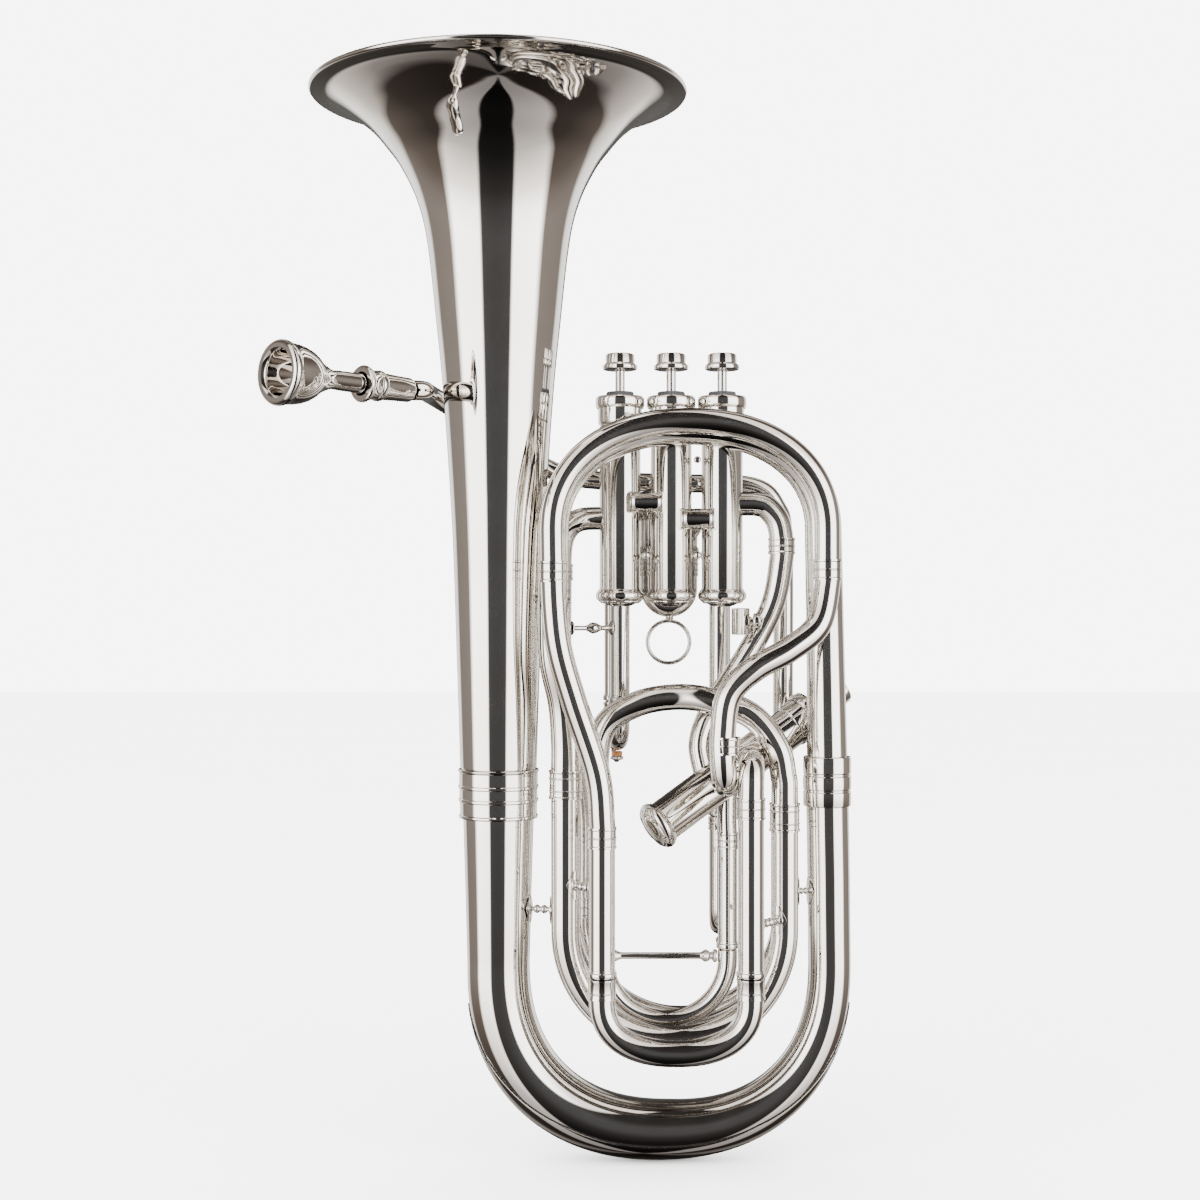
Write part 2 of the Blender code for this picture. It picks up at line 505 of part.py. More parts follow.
ret = tube("return_tube", [(-55, 25, 157.0, 7.2)]
           + smooth([(-55, 25, 215, 7.2), (-58.5, 25, 250, 7.2), (-65, 25, 290, 7.3), (-67, 25, 320, 7.3),
                     (-67, 25, 370, 7.3)], 2)
           + [(-67, 25, 371, 8.4), (-67, 25, 381, 8.4), (-67, 25, 382, 7.6)]
           + smooth([(-66.6, 25, 393, 7.6), (-62.8, 24.4, 404, 7.6), (-53.5, 22.5, 411, 7.6)], 2)
           + [(VALVE_X[0], VALVE_Y, 411.5, 7.6)])
fit_to_valve(ret, 1)

# ----------------------------------------------------- braces and fittings


def brace(name, a, ra, b, rb, steps=6):
    """Turned double-ball brace with a foot on each of two tubes."""
    a, b = Vector(a), Vector(b)
    d = (b - a).normalized()
    start, length = a + d * (ra + 0.4), (b - a).length - ra - rb - 0.8
    m = length / 2
    k = min(1.0, m / 7)
    prof = [(0, length), (3.8, length), (3.8, length - 0.9 * k), (1.5, length - 1.6 * k), (1.5, m + 3.9 * k),
            (2.7, m + 2.2 * k), (1.3, m), (2.7, m - 2.2 * k), (1.5, m - 3.9 * k), (1.5, 1.6 * k),
            (3.8, 0.9 * k), (3.8, 0), (0, 0)]
    return turned(name, prof, steps, at=start, turn=towards(d))


brace("brace_bell_side", (BELL_X, 0, 161), 21.2, (-62.9, -14, 161), 9.3)
brace("brace_slide4_left", (-62.9, -14, 178), 9.3, (SLIDE4_X[0], SLIDE4_Y, 178), LOOP4_R)
brace("brace_slide4_right", (SLIDE4_X[1], SLIDE4_Y, 155), LOOP4_R, (76.7, -8, 155), 8.8)
brace("brace_bow_right", (76.7, -8, 172), 8.8, (RISER_X + 1.1, 0, 172), 13.7)
start, far = Vector((-67, 25, 339.5)), Vector((-27.8, 42, 339.5))
way = (far - start).normalized()
span = (far - start).length - 7.4 - SLIDE_R - 0.8
turned("baluster_brace", [(0, span), (5.5, span), (5.5, span - 0.9), (1.8, span - 2), (1.8, span * 0.72),
                          (3.5, span * 0.6), (3.5, span * 0.5), (1.8, span * 0.36), (1.8, 2), (5.5, 0.9),
                          (5.5, 0), (0, 0)], 10, at=start + way * 7.8, turn=towards(way))

# lyre holder: socket block on a foot against the valve crook, with a clamp screw
socket = turned("lyre_holder", [(0, 8.6), (6.0, 8.6), (6.0, -8.6), (0, -8.6)], 4, at=(49.5, 4.0, 344.2))
combine(socket, box("lyre_foot", (48.0, 6.0, 341.0), (57.5, 17.0, 347.0)), "UNION")
combine(socket, box("lyre_slot", (47.0, 1.5, 330.0), (52.0, 6.5, 360.0)), "DIFFERENCE")
turned("lyre_screw", [(0, 6.5), (4.8, 6.5), (5.4, 5.8), (5.4, 2.4), (4.8, 1.7), (2.0, 1.7), (2.0, 0), (0, 0)],
       14, at=(55.9, 4.0, 344.2), turn=towards((1, 0, 0)))

# water key under the first slide's bow
KEY = Vector(((SLIDE1_LEGS[0][0] + SLIDE1_LEGS[1][0]) / 2, 54.0, SLIDE1_LOW - SLIDE_R))
turned("water_key_cork", [(0, 3.2), (3.4, 3.2), (3.7, 2.6), (3.7, 0), (0, 0)], 14, at=KEY - Vector((0, 0, 3.6)),
       colour=(0.35, 0.16, 0.06), metallic=0.0)
key = tube("water_key", [(KEY.x, 54, 252.2, 4.4), (KEY.x, 54, 251.6, 4.4), (KEY.x, 54, 250.4, 4.4),
                         (KEY.x, 54, 250.2, 3.0)], wall=0, res=2, origin=(-32.2, 77.5, 270.0))
arm = tube("water_key_arm", [(KEY.x, 54, 250.8, 1.6), (-30.5, 62, 250.5, 1.8), (-31.6, 71, 253.5, 1.8),
                             (-32.0, 76.5, 262, 1.8), (-32.2, 77.5, 270, 2.4), (-32.2, 79.5, 280, 2.0),
                             (-32.2, 82.0, 292, 3.0), (-32.2, 83.0, 297, 2.2)], wall=0, res=2, cutter=True)
combine(key, arm, "UNION")
combine(key, rod("water_key_barrel", (-37.2, 77.5, 270.0), (-27.2, 77.5, 270.0), 2.8), "UNION")
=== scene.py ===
"""Builds the looks of an upright, silver-plated valved horn round its working frame."""
import json
import math

import bpy
from mathutils import Matrix, Vector


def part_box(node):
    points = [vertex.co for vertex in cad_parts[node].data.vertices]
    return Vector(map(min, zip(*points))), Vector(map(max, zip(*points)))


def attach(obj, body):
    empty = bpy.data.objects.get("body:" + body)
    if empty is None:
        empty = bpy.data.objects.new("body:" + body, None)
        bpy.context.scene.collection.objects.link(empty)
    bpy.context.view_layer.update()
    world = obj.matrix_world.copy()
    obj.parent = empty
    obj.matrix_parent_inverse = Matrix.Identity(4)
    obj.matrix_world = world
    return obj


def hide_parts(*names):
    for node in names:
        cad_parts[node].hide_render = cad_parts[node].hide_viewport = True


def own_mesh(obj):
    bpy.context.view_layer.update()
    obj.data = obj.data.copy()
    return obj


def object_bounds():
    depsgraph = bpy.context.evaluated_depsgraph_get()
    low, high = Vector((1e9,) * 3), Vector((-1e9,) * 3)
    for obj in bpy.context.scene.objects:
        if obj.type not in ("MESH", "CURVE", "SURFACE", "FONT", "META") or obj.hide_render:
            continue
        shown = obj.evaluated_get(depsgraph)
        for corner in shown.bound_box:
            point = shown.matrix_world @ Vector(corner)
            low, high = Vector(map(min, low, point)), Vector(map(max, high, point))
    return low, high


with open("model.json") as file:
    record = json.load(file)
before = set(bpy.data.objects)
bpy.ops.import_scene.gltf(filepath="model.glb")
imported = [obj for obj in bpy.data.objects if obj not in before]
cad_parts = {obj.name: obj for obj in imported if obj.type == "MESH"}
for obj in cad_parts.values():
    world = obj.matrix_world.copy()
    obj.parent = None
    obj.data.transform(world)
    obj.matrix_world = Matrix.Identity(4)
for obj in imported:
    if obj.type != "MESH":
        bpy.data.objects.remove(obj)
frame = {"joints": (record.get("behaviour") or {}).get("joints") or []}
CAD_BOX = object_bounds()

bl_info = {
    "name": "Upright Horn",
    "version": (1, 0, 0),
    "blender": (4, 5, 0),
    "location": "3D View > Sidebar > Horn",
    "description": "Models the tubing, valves, slides and fittings of an upright brass horn",
    "category": "Object",
}

MM = 0.001
MERGE = 0.005 * MM
UP = Vector((0, 0, 1))


# ------------------------------------------------------------ the frame's own places, in millimetres

def low(node):
    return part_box(node)[0] / MM


def high(node):
    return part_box(node)[1] / MM


def middle(node):
    return (low(node) + high(node)) / 2


def joint_axis(name):
    return Vector(next(j["axis"] for j in frame["joints"] if j["name"] == name))


BELL_X = middle("bell").x
RIM_Z = high("bell").z
RIM_R = (high("bell").x - low("bell").x) / 2
RISER_X = middle("bow_ferrule").x
LEFT_LEG = (-62.9, -14)
RIGHT_LEG = (76.7, -8)
ARCH_X, ARCH_HALF = 15.9, 86.4
BOW_HALF, BOW_SPRING, BOW_DEPTH = 106.3, 125.0, 106.3

VALVE_Y = middle("casing_2").y
VALVE_X = [middle("casing_%d" % n).x for n in (1, 2, 3)]
VALVE_Z = low("bottom_cap_1").z
SIDE_VALVE_AXIS = -joint_axis("valve_4_press")
SIDE_VALVE_BASE = Vector((-10.0, -12.0, 210.3))
CASING_R = 13.4
TRIM_DEPTH = 0.45

MOUTH_AXIS = -joint_axis("mouthpiece_pull")
MOUTH = Vector((-226.3, -130.0, 488.3))

TUNING_X = [middle("tuning_sleeve_left").x, 41.4]
TUNING_Y = middle("tuning_sleeve_left").y
TUNING_R = 6.3
TUNING_END = 133.0
FOURTH_X = [middle("slide4_sleeve_left").x, 52.6]
FOURTH_Y = middle("slide4_sleeve_left").y
LOOP_R = 8.2
FOURTH_END = 124.0
SECOND_X = (-7.9, 17.5)
SECOND_Y = 42.0
SECOND_R = 6.2
SMALL_R = 6.5
FIRST = dict(legs=((-27.8, 42.0), (-31.6, 66.0)), valve=1, end=290.0, low=263.5, top=376.0, body="slide_1")
THIRD = dict(legs=((38.0, 42.0), (41.0, 68.0)), valve=3, end=215.0, low=140.0, top=300.0, body="slide_3")


# ------------------------------------------------------------ routes

def smooth(points, per=10):
    """Catmull-Rom curve through (x, y, z, radius) or (radius, z) points."""
    ctrl = [Vector(p) for p in points]
    ctrl = [2 * ctrl[0] - ctrl[1]] + ctrl + [2 * ctrl[-1] - ctrl[-2]]
    path = []
    for i in range(1, len(ctrl) - 2):
        a, b, c, d = ctrl[i - 1:i + 3]
        for k in range(per):
            t = k / per
            path.append(0.5 * (2 * b + (c - a) * t + (2 * a - 5 * b + 4 * c - d) * t * t
                + (3 * b - a - 3 * c + d) * t ** 3))
    return [tuple(p) for p in path + [ctrl[-2]]]


def arch(cx, half, z0, rise, power, y, r, count=56):
    """Superellipse from the right-hand foot to the left; y and r are (right, left) pairs."""
    path = []
    for i in range(count + 1):
        f = i / count
        c, s = math.cos(math.pi * f), math.sin(math.pi * f)
        path.append((cx + math.copysign(half * abs(c) ** (2 / power), c), y[0] + (y[1] - y[0]) * f,
            z0 + rise * abs(s) ** (2 / power), r[0] + (r[1] - r[0]) * f))
    return path


def even(path, step=3.0):
    """The same route with points about a step apart, so that the rings are evenly spaced."""
    out = [path[0]]
    for a, b in zip(path, path[1:]):
        n = max(1, round((Vector(b[:3]) - Vector(a[:3])).length / step))
        out += [tuple(Vector(a).lerp(Vector(b), (k + 1) / n)) for k in range(n)]
    return out


def straight(x, y, z0, z1, r):
    return [(x, y, z0, r), (x, y, z1, r)]


# ------------------------------------------------------------ making and finishing a piece

def only(obj):
    bpy.ops.object.select_all(action="DESELECT")
    obj.select_set(True)
    bpy.context.view_layer.objects.active = obj


def edit_all(obj, *operators):
    """Run the operators in edit mode with the whole mesh selected."""
    only(obj)
    bpy.ops.object.mode_set(mode="EDIT")
    bpy.ops.mesh.select_all(action="SELECT")
    for operator, settings in operators:
        operator(**settings)
    bpy.ops.object.mode_set(mode="OBJECT")


def face_out(obj, *before):
    edit_all(obj, *before, (bpy.ops.mesh.normals_make_consistent, {"inside": False}))


def tidy_mesh(obj, angle):
    """Merge doubles, turn the faces outwards and smooth all but the sharp edges."""
    face_out(obj, (bpy.ops.mesh.remove_doubles, {"threshold": MERGE}))
    bpy.ops.object.shade_smooth_by_angle(angle=math.radians(angle))


def apply(obj, kind, **settings):
    only(obj)
    mod = obj.modifiers.new(kind.lower(), kind)
    for key, value in settings.items():
        setattr(mod, key, value)
    bpy.ops.object.modifier_apply(modifier=mod.name)


def dress(obj, body, replaces=(), finish=None):
    """Give the piece its body, the nodes it stands for and its material."""
    obj.data.materials.clear()
    obj.data.materials.append(finish or silver())
    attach(obj, body)
    if replaces:
        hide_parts(*replaces)
    return obj


def outline(name, points, cyclic=False):
    curve = bpy.data.curves.new(name, "CURVE")
    curve.dimensions = "3D"
    spline = curve.splines.new("POLY")
    spline.points.add(len(points) - 1)
    spline.use_cyclic_u = cyclic
    for point, p in zip(spline.points, points):
        point.co = (p[0] * MM, p[1] * MM, p[2] * MM, 1)
        point.radius = p[3] if len(p) > 3 else 1
    obj = bpy.data.objects.new(name, curve)
    bpy.context.scene.collection.objects.link(obj)
    return obj


def sweep(name, path, wall=0.0, sides=32, angle=40, cyclic=False):
    """Round tube along the route; a wall makes it hollow and open-ended."""
    obj = outline(name, path, cyclic)
    obj.data.bevel_depth = MM
    obj.data.bevel_resolution = sides // 2 - 2
    obj.data.use_fill_caps = wall == 0 and not cyclic
    only(obj)
    bpy.ops.object.convert(target="MESH")
    obj = bpy.context.object
    tidy_mesh(obj, angle)
    if wall:
        apply(obj, "SOLIDIFY", thickness=wall * MM, offset=-1)
        bpy.ops.object.shade_smooth_by_angle(angle=math.radians(angle))
    return obj


def turned(base, direction):
    """Matrix that puts upright work at the base, standing along the direction."""
    return Matrix.Translation(Vector(base)) @ UP.rotation_difference(Vector(direction)).to_matrix().to_4x4()


def put(obj, base, direction):
    obj.matrix_world = turned(Vector(base) * MM, direction)
    only(obj)
    bpy.ops.object.transform_apply(location=True, rotation=True, scale=True)


def pipe(name, route, node, body="horn", **how):
    """Tube along the route, dressed as the node's looks."""
    return dress(sweep(name, even(route), **how), body, [node])


def lathe(name, profile, base=(0, 0, 0), direction=UP, steps=72, closed=False, soften=0.25, angle=32):
    """Turned piece: (radius, height) points down the outer side, spun about the direction."""
    obj = outline(name, [(r, 0, z) for r, z in profile], closed)
    only(obj)
    bpy.ops.object.convert(target="MESH")
    obj = bpy.context.object
    apply(obj, "SCREW", steps=steps, render_steps=steps, use_merge_vertices=True, merge_threshold=0.00001)
    put(obj, base, direction)
    tidy_mesh(obj, angle)
    if soften:
        apply(obj, "BEVEL", width=soften * MM, segments=2, limit_method="ANGLE",
              angle_limit=math.radians(34), use_clamp_overlap=True)
        tidy_mesh(obj, angle)
    return obj


def band(name, start, length, r, bore, lines=(), lip=0.5, body="horn"):
    """Upright ferrule ring with a raised lip at each end and turned lines between."""
    out = [(r + lip, length), (r + lip, length - 1.2), (r, length - 1.8)]
    for at in sorted(lines, reverse=True):
        out += [(r, at + 0.5), (r + 0.45, at + 0.25), (r + 0.45, at - 0.25), (r, at - 0.5)]
    out += [(r, 1.8), (r + lip, 1.2), (r + lip, 0), (bore, 0), (bore, length)]
    return dress(lathe(name, out, start, UP, 64, closed=True, soften=0.15), body)


def trim(obj, base, axis):
    """Cut a tube's end to the round of a valve casing, inside the casing's wall."""
    base, axis = Vector(base), Vector(axis)
    bpy.ops.object.select_all(action="DESELECT")
    bpy.ops.mesh.primitive_cylinder_add(
        vertices=128, radius=(CASING_R - TRIM_DEPTH) * MM, depth=150 * MM, location=(base + axis * 70) * MM,
        rotation=UP.rotation_difference(axis).to_euler())
    cutter = bpy.context.object
    apply(obj, "BOOLEAN", operation="DIFFERENCE", object=cutter, solver="EXACT")
    bpy.data.objects.remove(cutter, do_unlink=True)
    tidy_mesh(obj, 40)
    return obj


def trim_to_top(obj, n):
    return trim(obj, (VALVE_X[n - 1], VALVE_Y, VALVE_Z), UP)


def trim_to_side(obj):
    return trim(obj, SIDE_VALVE_BASE, SIDE_VALVE_AXIS)


# ------------------------------------------------------------ materials

def new_finish(name):
    """A bare node material, or the one already made under that name."""
    found = bpy.data.materials.get(name)
    if found:
        return found, None
    mat = bpy.data.materials.new(name)
    mat.use_nodes = True
    return mat, mat.node_tree


def noise(tree, scale, detail, stretch=(1, 1, 1)):
    coords = tree.nodes.new("ShaderNodeTexCoord")
    mapping = tree.nodes.new("ShaderNodeMapping")
    mapping.inputs["Scale"].default_value = stretch
    texture = tree.nodes.new("ShaderNodeTexNoise")
    texture.inputs["Scale"].default_value = scale
    texture.inputs["Detail"].default_value = detail
    tree.links.new(coords.outputs["Object"], mapping.inputs["Vector"])
    tree.links.new(mapping.outputs["Vector"], texture.inputs["Vector"])
    return texture


def ramp(tree, source, stops, target):
    node = tree.nodes.new("ShaderNodeValToRGB")
    while len(node.color_ramp.elements) < len(stops):
        node.color_ramp.elements.new(0.5)
    for element, (place, colour) in zip(node.color_ramp.elements, stops):
        element.position = place
        element.color = (*colour, 1) if len(colour) == 3 else colour
    tree.links.new(source, node.inputs["Fac"])
    if target:
        tree.links.new(node.outputs["Color"], target)
    return node


def spread(tree, source, low_value, high_value, target):
    node = tree.nodes.new("ShaderNodeMapRange")
    node.inputs["From Min"].default_value = 0.3
    node.inputs["From Max"].default_value = 0.7
    node.inputs["To Min"].default_value = low_value
    node.inputs["To Max"].default_value = high_value
    tree.links.new(source, node.inputs["Value"])
    tree.links.new(node.outputs["Result"], target)


def bump(tree, source, strength, distance, shader):
    node = tree.nodes.new("ShaderNodeBump")
    node.inputs["Strength"].default_value = strength
    node.inputs["Distance"].default_value = distance
    tree.links.new(source, node.inputs["Height"])
    tree.links.new(node.outputs["Normal"], shader.inputs["Normal"])


def plated(name, tone, rough_low, rough_high):
    """Polished silver plate: faint warm tarnish, hand polish marks and handling smudges."""
    mat, tree = new_finish(name)
    if tree is None:
        return mat
    shader = tree.nodes["Principled BSDF"]
    shader.inputs["Metallic"].default_value = 1.0
    tarnish = noise(tree, 11, 5)
    warm = tuple(c * k for c, k in zip(tone, (0.965, 0.945, 0.915)))
    ramp(tree, tarnish.outputs["Fac"], [(0.38, tone), (0.72, warm)], shader.inputs["Base Color"])
    smudge = noise(tree, 46, 6)
    spread(tree, smudge.outputs["Fac"], rough_low, rough_high, shader.inputs["Roughness"])
    ripple = noise(tree, 34, 2)
    bump(tree, ripple.outputs["Fac"], 0.06, 0.0006, shader)
    return mat


def silver():
    look = bpy.context.scene.horn
    return plated("mirror_silver", tuple(look.silver), look.polish, look.polish + 0.045)


def piston_metal():
    look = bpy.context.scene.horn
    return plated("lapped_piston", tuple(c * 0.9 for c in look.silver), 0.16, 0.24)


def spring_steel():
    return plated("drawn_wire", (0.52, 0.52, 0.54), 0.25, 0.36)


def cork():
    """Pressed cork with darker grains."""
    mat, tree = new_finish("pressed_cork")
    if tree is None:
        return mat
    shader = tree.nodes["Principled BSDF"]
    grain = noise(tree, 900, 6)
    tone = tuple(bpy.context.scene.horn.cork)
    dark = tuple(c * 0.45 for c in tone)
    ramp(tree, grain.outputs["Fac"], [(0.36, dark), (0.58, tone)], shader.inputs["Base Color"])
    spread(tree, grain.outputs["Fac"], 0.8, 0.95, shader.inputs["Roughness"])
    bump(tree, grain.outputs["Fac"], 0.5, 0.0004, shader)
    return mat


def felt():
    """Dark felt washer with a short nap."""
    mat, tree = new_finish("felt_washer")
    if tree is None:
        return mat
    shader = tree.nodes["Principled BSDF"]
    nap = noise(tree, 2200, 4)
    ramp(tree, nap.outputs["Fac"], [(0.35, (0.012, 0.012, 0.014)), (0.7, (0.05, 0.05, 0.055))],
         shader.inputs["Base Color"])
    spread(tree, nap.outputs["Fac"], 0.88, 1.0, shader.inputs["Roughness"])
    bump(tree, nap.outputs["Fac"], 0.6, 0.0003, shader)
    return mat


# ------------------------------------------------------------ sizes and colours a user may change

class HornLook(bpy.types.PropertyGroup):
    """Finish and fine sizes of the horn."""
    silver: bpy.props.FloatVectorProperty(
        name="Silver", description="Colour of the plated tubing", subtype="COLOR",
        default=(0.83, 0.805, 0.765), min=0, max=1)
    polish: bpy.props.FloatProperty(
        name="Polish", description="Roughness of the brightest plate", default=0.015, min=0.005, max=0.5)
    cork: bpy.props.FloatVectorProperty(
        name="Cork", description="Colour of the water key's pad", subtype="COLOR",
        default=(0.33, 0.13, 0.04), min=0, max=1)
    wall: bpy.props.FloatProperty(
        name="Tube wall", description="Thickness of the hollow tubes in millimetres", default=0.6, min=0.3)
    softbox: bpy.props.FloatProperty(
        name="Softbox", description="Brightness of the two side lights", default=1.55, min=0)


def hollow():
    return bpy.context.scene.horn.wall


class Piece(bpy.types.Operator):
    """Shared settings of the horn's modelling operators."""
    bl_options = {"REGISTER", "UNDO"}


# ------------------------------------------------------------ bell and bottom bow

BELL_CURVE = [(RIM_R - 4.4, RIM_Z - 3.9), (109.0, 679.3), (99.5, 673.9), (91.0, 667.9), (81.6, 660.0),
    (73.0, 650.0), (62.7, 636.0), (52.0, 613.5), (45.5, 586.0), (39.8, 535.0), (36.0, 497.5), (32.5, 450.0),
    (29.2, 393.0), (26.7, 319.0), (24.5, 250.8)]


def bow_radius(f):
    """Bottom bow radius from the right-hand foot (0) to the left-hand foot (1)."""
    return 13.6 + 0.2 * f + 9.6 * f * f * (3 - 2 * f) - 3.4 * max(0.0, f - 0.5) * 2


def bow_path(count):
    route = arch(0, BOW_HALF, BOW_SPRING, -BOW_DEPTH, 2.3, (0, 0), (1, 1), count)
    return [(x, y, z, bow_radius(i / count)) for i, (x, y, z, _) in enumerate(route)]


class HORN_OT_bell(Piece):
    """Flared bell with its rolled rim and banded ferrule"""
    bl_idname = "horn.bell"
    bl_label = "Bell"

    def execute(self, context):
        flare = smooth(BELL_CURVE, 5)
        bead = []
        for k in range(0, 13):
            a = math.radians(-100 + 17 * k)
            bead.append((RIM_R - 1.75 + 1.7 * math.cos(a), RIM_Z - 1.75 + 1.7 * math.sin(a)))
        inner = [(r - 0.35 * (r > 60) - 0.55, z + (0.75 if r > 60 else 0.15)) for r, z in reversed(flare)]
        rim_out = list(reversed(bead))
        profile = rim_out + flare + [(23.4, 250.4), (23.1, 234.3), (22.5, 234.3)] + inner
        bell = lathe("bell_flare", profile, (BELL_X, 0, 0), steps=144, closed=True, soften=0, angle=50)
        dress(bell, "horn", ["bell"])
        collar = lathe("bell_collar", [
            (24.5, 250.3), (25.7, 249.7), (26.0, 248.9), (25.7, 248.0), (25.2, 247.6), (25.2, 239.7),
            (25.7, 239.3), (25.8, 238.5), (25.7, 237.7), (25.0, 237.3), (25.0, 231.2), (25.5, 230.8),
            (25.6, 230.0), (25.5, 229.2), (24.7, 228.8), (24.6, 220.8), (25.2, 220.2), (25.4, 219.3),
            (25.0, 218.4), (23.0, 218.2), (23.2, 250.3)], (BELL_X, 0, 0), steps=112, closed=True, soften=0.15)
        dress(collar, "horn", ["bell_ferrule"])
        return {"FINISHED"}


class HORN_OT_bottom_bow(Piece):
    """Bottom bow, its wear plate and the ferrule on its narrow end"""
    bl_idname = "horn.bottom_bow"
    bl_label = "Bottom bow"

    def execute(self, context):
        route = ([(RISER_X, 0, 241.0, 13.6), (RISER_X + 1.0, 0, 180.0, 13.6)] + bow_path(96)
            + [(-BOW_HALF, 0, 165.0, 21.0), (BELL_X, 0, 218.0, 22.6), (BELL_X, 0, 233.8, 22.6)])
        bow = sweep("bow_tube", even(route, 4), wall=hollow(), sides=56)
        dress(bow, "horn", ["bottom_bow"])
        self.plate()
        collar = lathe("bow_collar", [(13.9, 258.0), (15.0, 257.6), (15.3, 256.8), (15.3, 247.4),
            (14.9, 246.9), (14.9, 245.6), (15.3, 245.1), (15.5, 241.0), (15.3, 237.0), (14.9, 236.6),
            (14.9, 235.5), (15.3, 235.0), (15.3, 226.8), (15.0, 226.0), (13.7, 225.6), (13.5, 258.0)],
            (RISER_X, 0, 0), steps=80, closed=True, soften=0.15)
        dress(collar, "horn", ["bow_ferrule"])
        return {"FINISHED"}

    def plate(self):
        """A flat grid wrapped round the outside of the bow, then given its thickness."""
        along, across = 160, 24
        bpy.ops.object.select_all(action="DESELECT")
        bpy.ops.mesh.primitive_grid_add(x_subdivisions=along, y_subdivisions=across, size=2)
        plate = bpy.context.object
        plate.name = "bow_plate"
        path = bow_path(180)
        for vert in plate.data.vertices:
            f = 0.5 + vert.co.x / 2
            i = 10 + f * 160
            k = min(int(i), 178)
            here = Vector(path[k]).lerp(Vector(path[k + 1]), i - k)
            tangent = (Vector(path[k + 1][:3]) - Vector(path[k - 1][:3])).normalized()
            out = Vector((tangent.z, 0, -tangent.x))
            if out.dot(Vector((here[0], 0, here[2] - BOW_SPRING))) < 0:
                out.negate()
            shoulder = 8 * max(0.0, math.sin(math.pi * min(1.0, max(0.0, (f - 0.1) / 0.8)))) ** 0.3
            half = math.radians(2 + 58 * min(1.0, 4.6 * f * (1 - f)) ** 0.9 + shoulder)
            a = half * vert.co.y
            spot = (Vector(here[:3]) + (here[3] + 0.15) * (out * math.cos(a)
                + Vector((0, 1, 0)) * math.sin(a)))
            vert.co = spot * MM
        face_out(plate)
        if sum(face.normal.z for face in plate.data.polygons) > 0:
            edit_all(plate, (bpy.ops.mesh.flip_normals, {}))
        apply(plate, "SOLIDIFY", thickness=0.9 * MM, offset=1, use_even_offset=True)
        apply(plate, "BEVEL", width=0.25 * MM, segments=2, limit_method="ANGLE", angle_limit=math.radians(50))
        tidy_mesh(plate, 40)
        dress(plate, "horn", ["bow_guard"])


# ------------------------------------------------------------ main branch and lower bow

class HORN_OT_main_branch(Piece):
    """Riser, top arch and left leg of the main tubing"""
    bl_idname = "horn.main_branch"
    bl_label = "Main branch"

    def execute(self, context):
        route = ([(RISER_X, 0, 241.3, 13.2)] + smooth([(RISER_X, 0, 258, 13.0), (103.8, 0, 322, 12.2),
            (102.3, 0, 401, 11.8)], 8) + arch(ARCH_X, ARCH_HALF, 401.0, 66.6, 2.2, (0, -22),
            (11.8, 9.8))[1:] + smooth([(-70.5, -22, 396, 9.8), (-70.5, -22, 345, 9.8),
            (-69.5, -20.8, 318, 9.8), (-64.5, -15.4, 292, 9.6), (*LEFT_LEG, 268, 9.4),
            (*LEFT_LEG, 250, 9.4), (*LEFT_LEG, 241.3, 9.4)]))
        dress(sweep("main_tube", even(route, 4), sides=44), "horn", ["main_branch"])
        band("main_foot_band", (*LEFT_LEG, 232.0), 18.0, 10.3, 9.2, (5, 13))
        return {"FINISHED"}


class HORN_OT_lower_tubing(Piece):
    """Lower bow, and the crossover that carries it over to the tuning slide"""
    bl_idname = "horn.lower_tubing"
    bl_label = "Lower bow and crossover"

    def execute(self, context):
        bow = list(reversed(arch(6.9, 69.8, 148.0, -70.0, 2.05, (-8, -14), (8.7, 9.2))))
        route = [(*LEFT_LEG, 241.0, 9.3)] + bow + [(*RIGHT_LEG, 219.6, 8.7)]
        pipe("lower_tube", route, "lower_bow")
        over = ([(*RIGHT_LEG, 219.9, 8.6)] + smooth([(*RIGHT_LEG, 242, 8.5), (72, -7, 263.5, 8.5),
            (56, -5, 283.8, 8.5), (30.6, -3.8, 293.3, 8.5), (7.2, 1.5, 295.6, 8.4),
            (-17.9, 4.8, 290.6, 8.4), (-38, 6.5, 276.6, 8.2), (-43, 7.5, 251.3, 7.8), (-39, 8, 215, 6.8),
            (TUNING_X[0], TUNING_Y, 203.3, 6.6)]))
        pipe("crossover_tube", over, "crossover_arch")
        band("lower_foot_band", (*RIGHT_LEG, 210.6), 17.9, 9.4, 8.4, (5, 13))
        return {"FINISHED"}


# ------------------------------------------------------------ slides

def end_ring(name, x, y, z, r, body="horn"):
    """Raised ring that ends a slide's outer sleeve."""
    ring = lathe(name, [(r - 0.4, 5.0), (r + 0.15, 4.6), (r + 0.35, 3.4), (r + 0.95, 3.0), (r + 1.1, 2.2),
        (r + 1.1, 0.9), (r + 0.85, 0.15), (r - 0.4, 0.0)], (x, y, z), steps=56, closed=True, soften=0.12)
    return dress(ring, body)


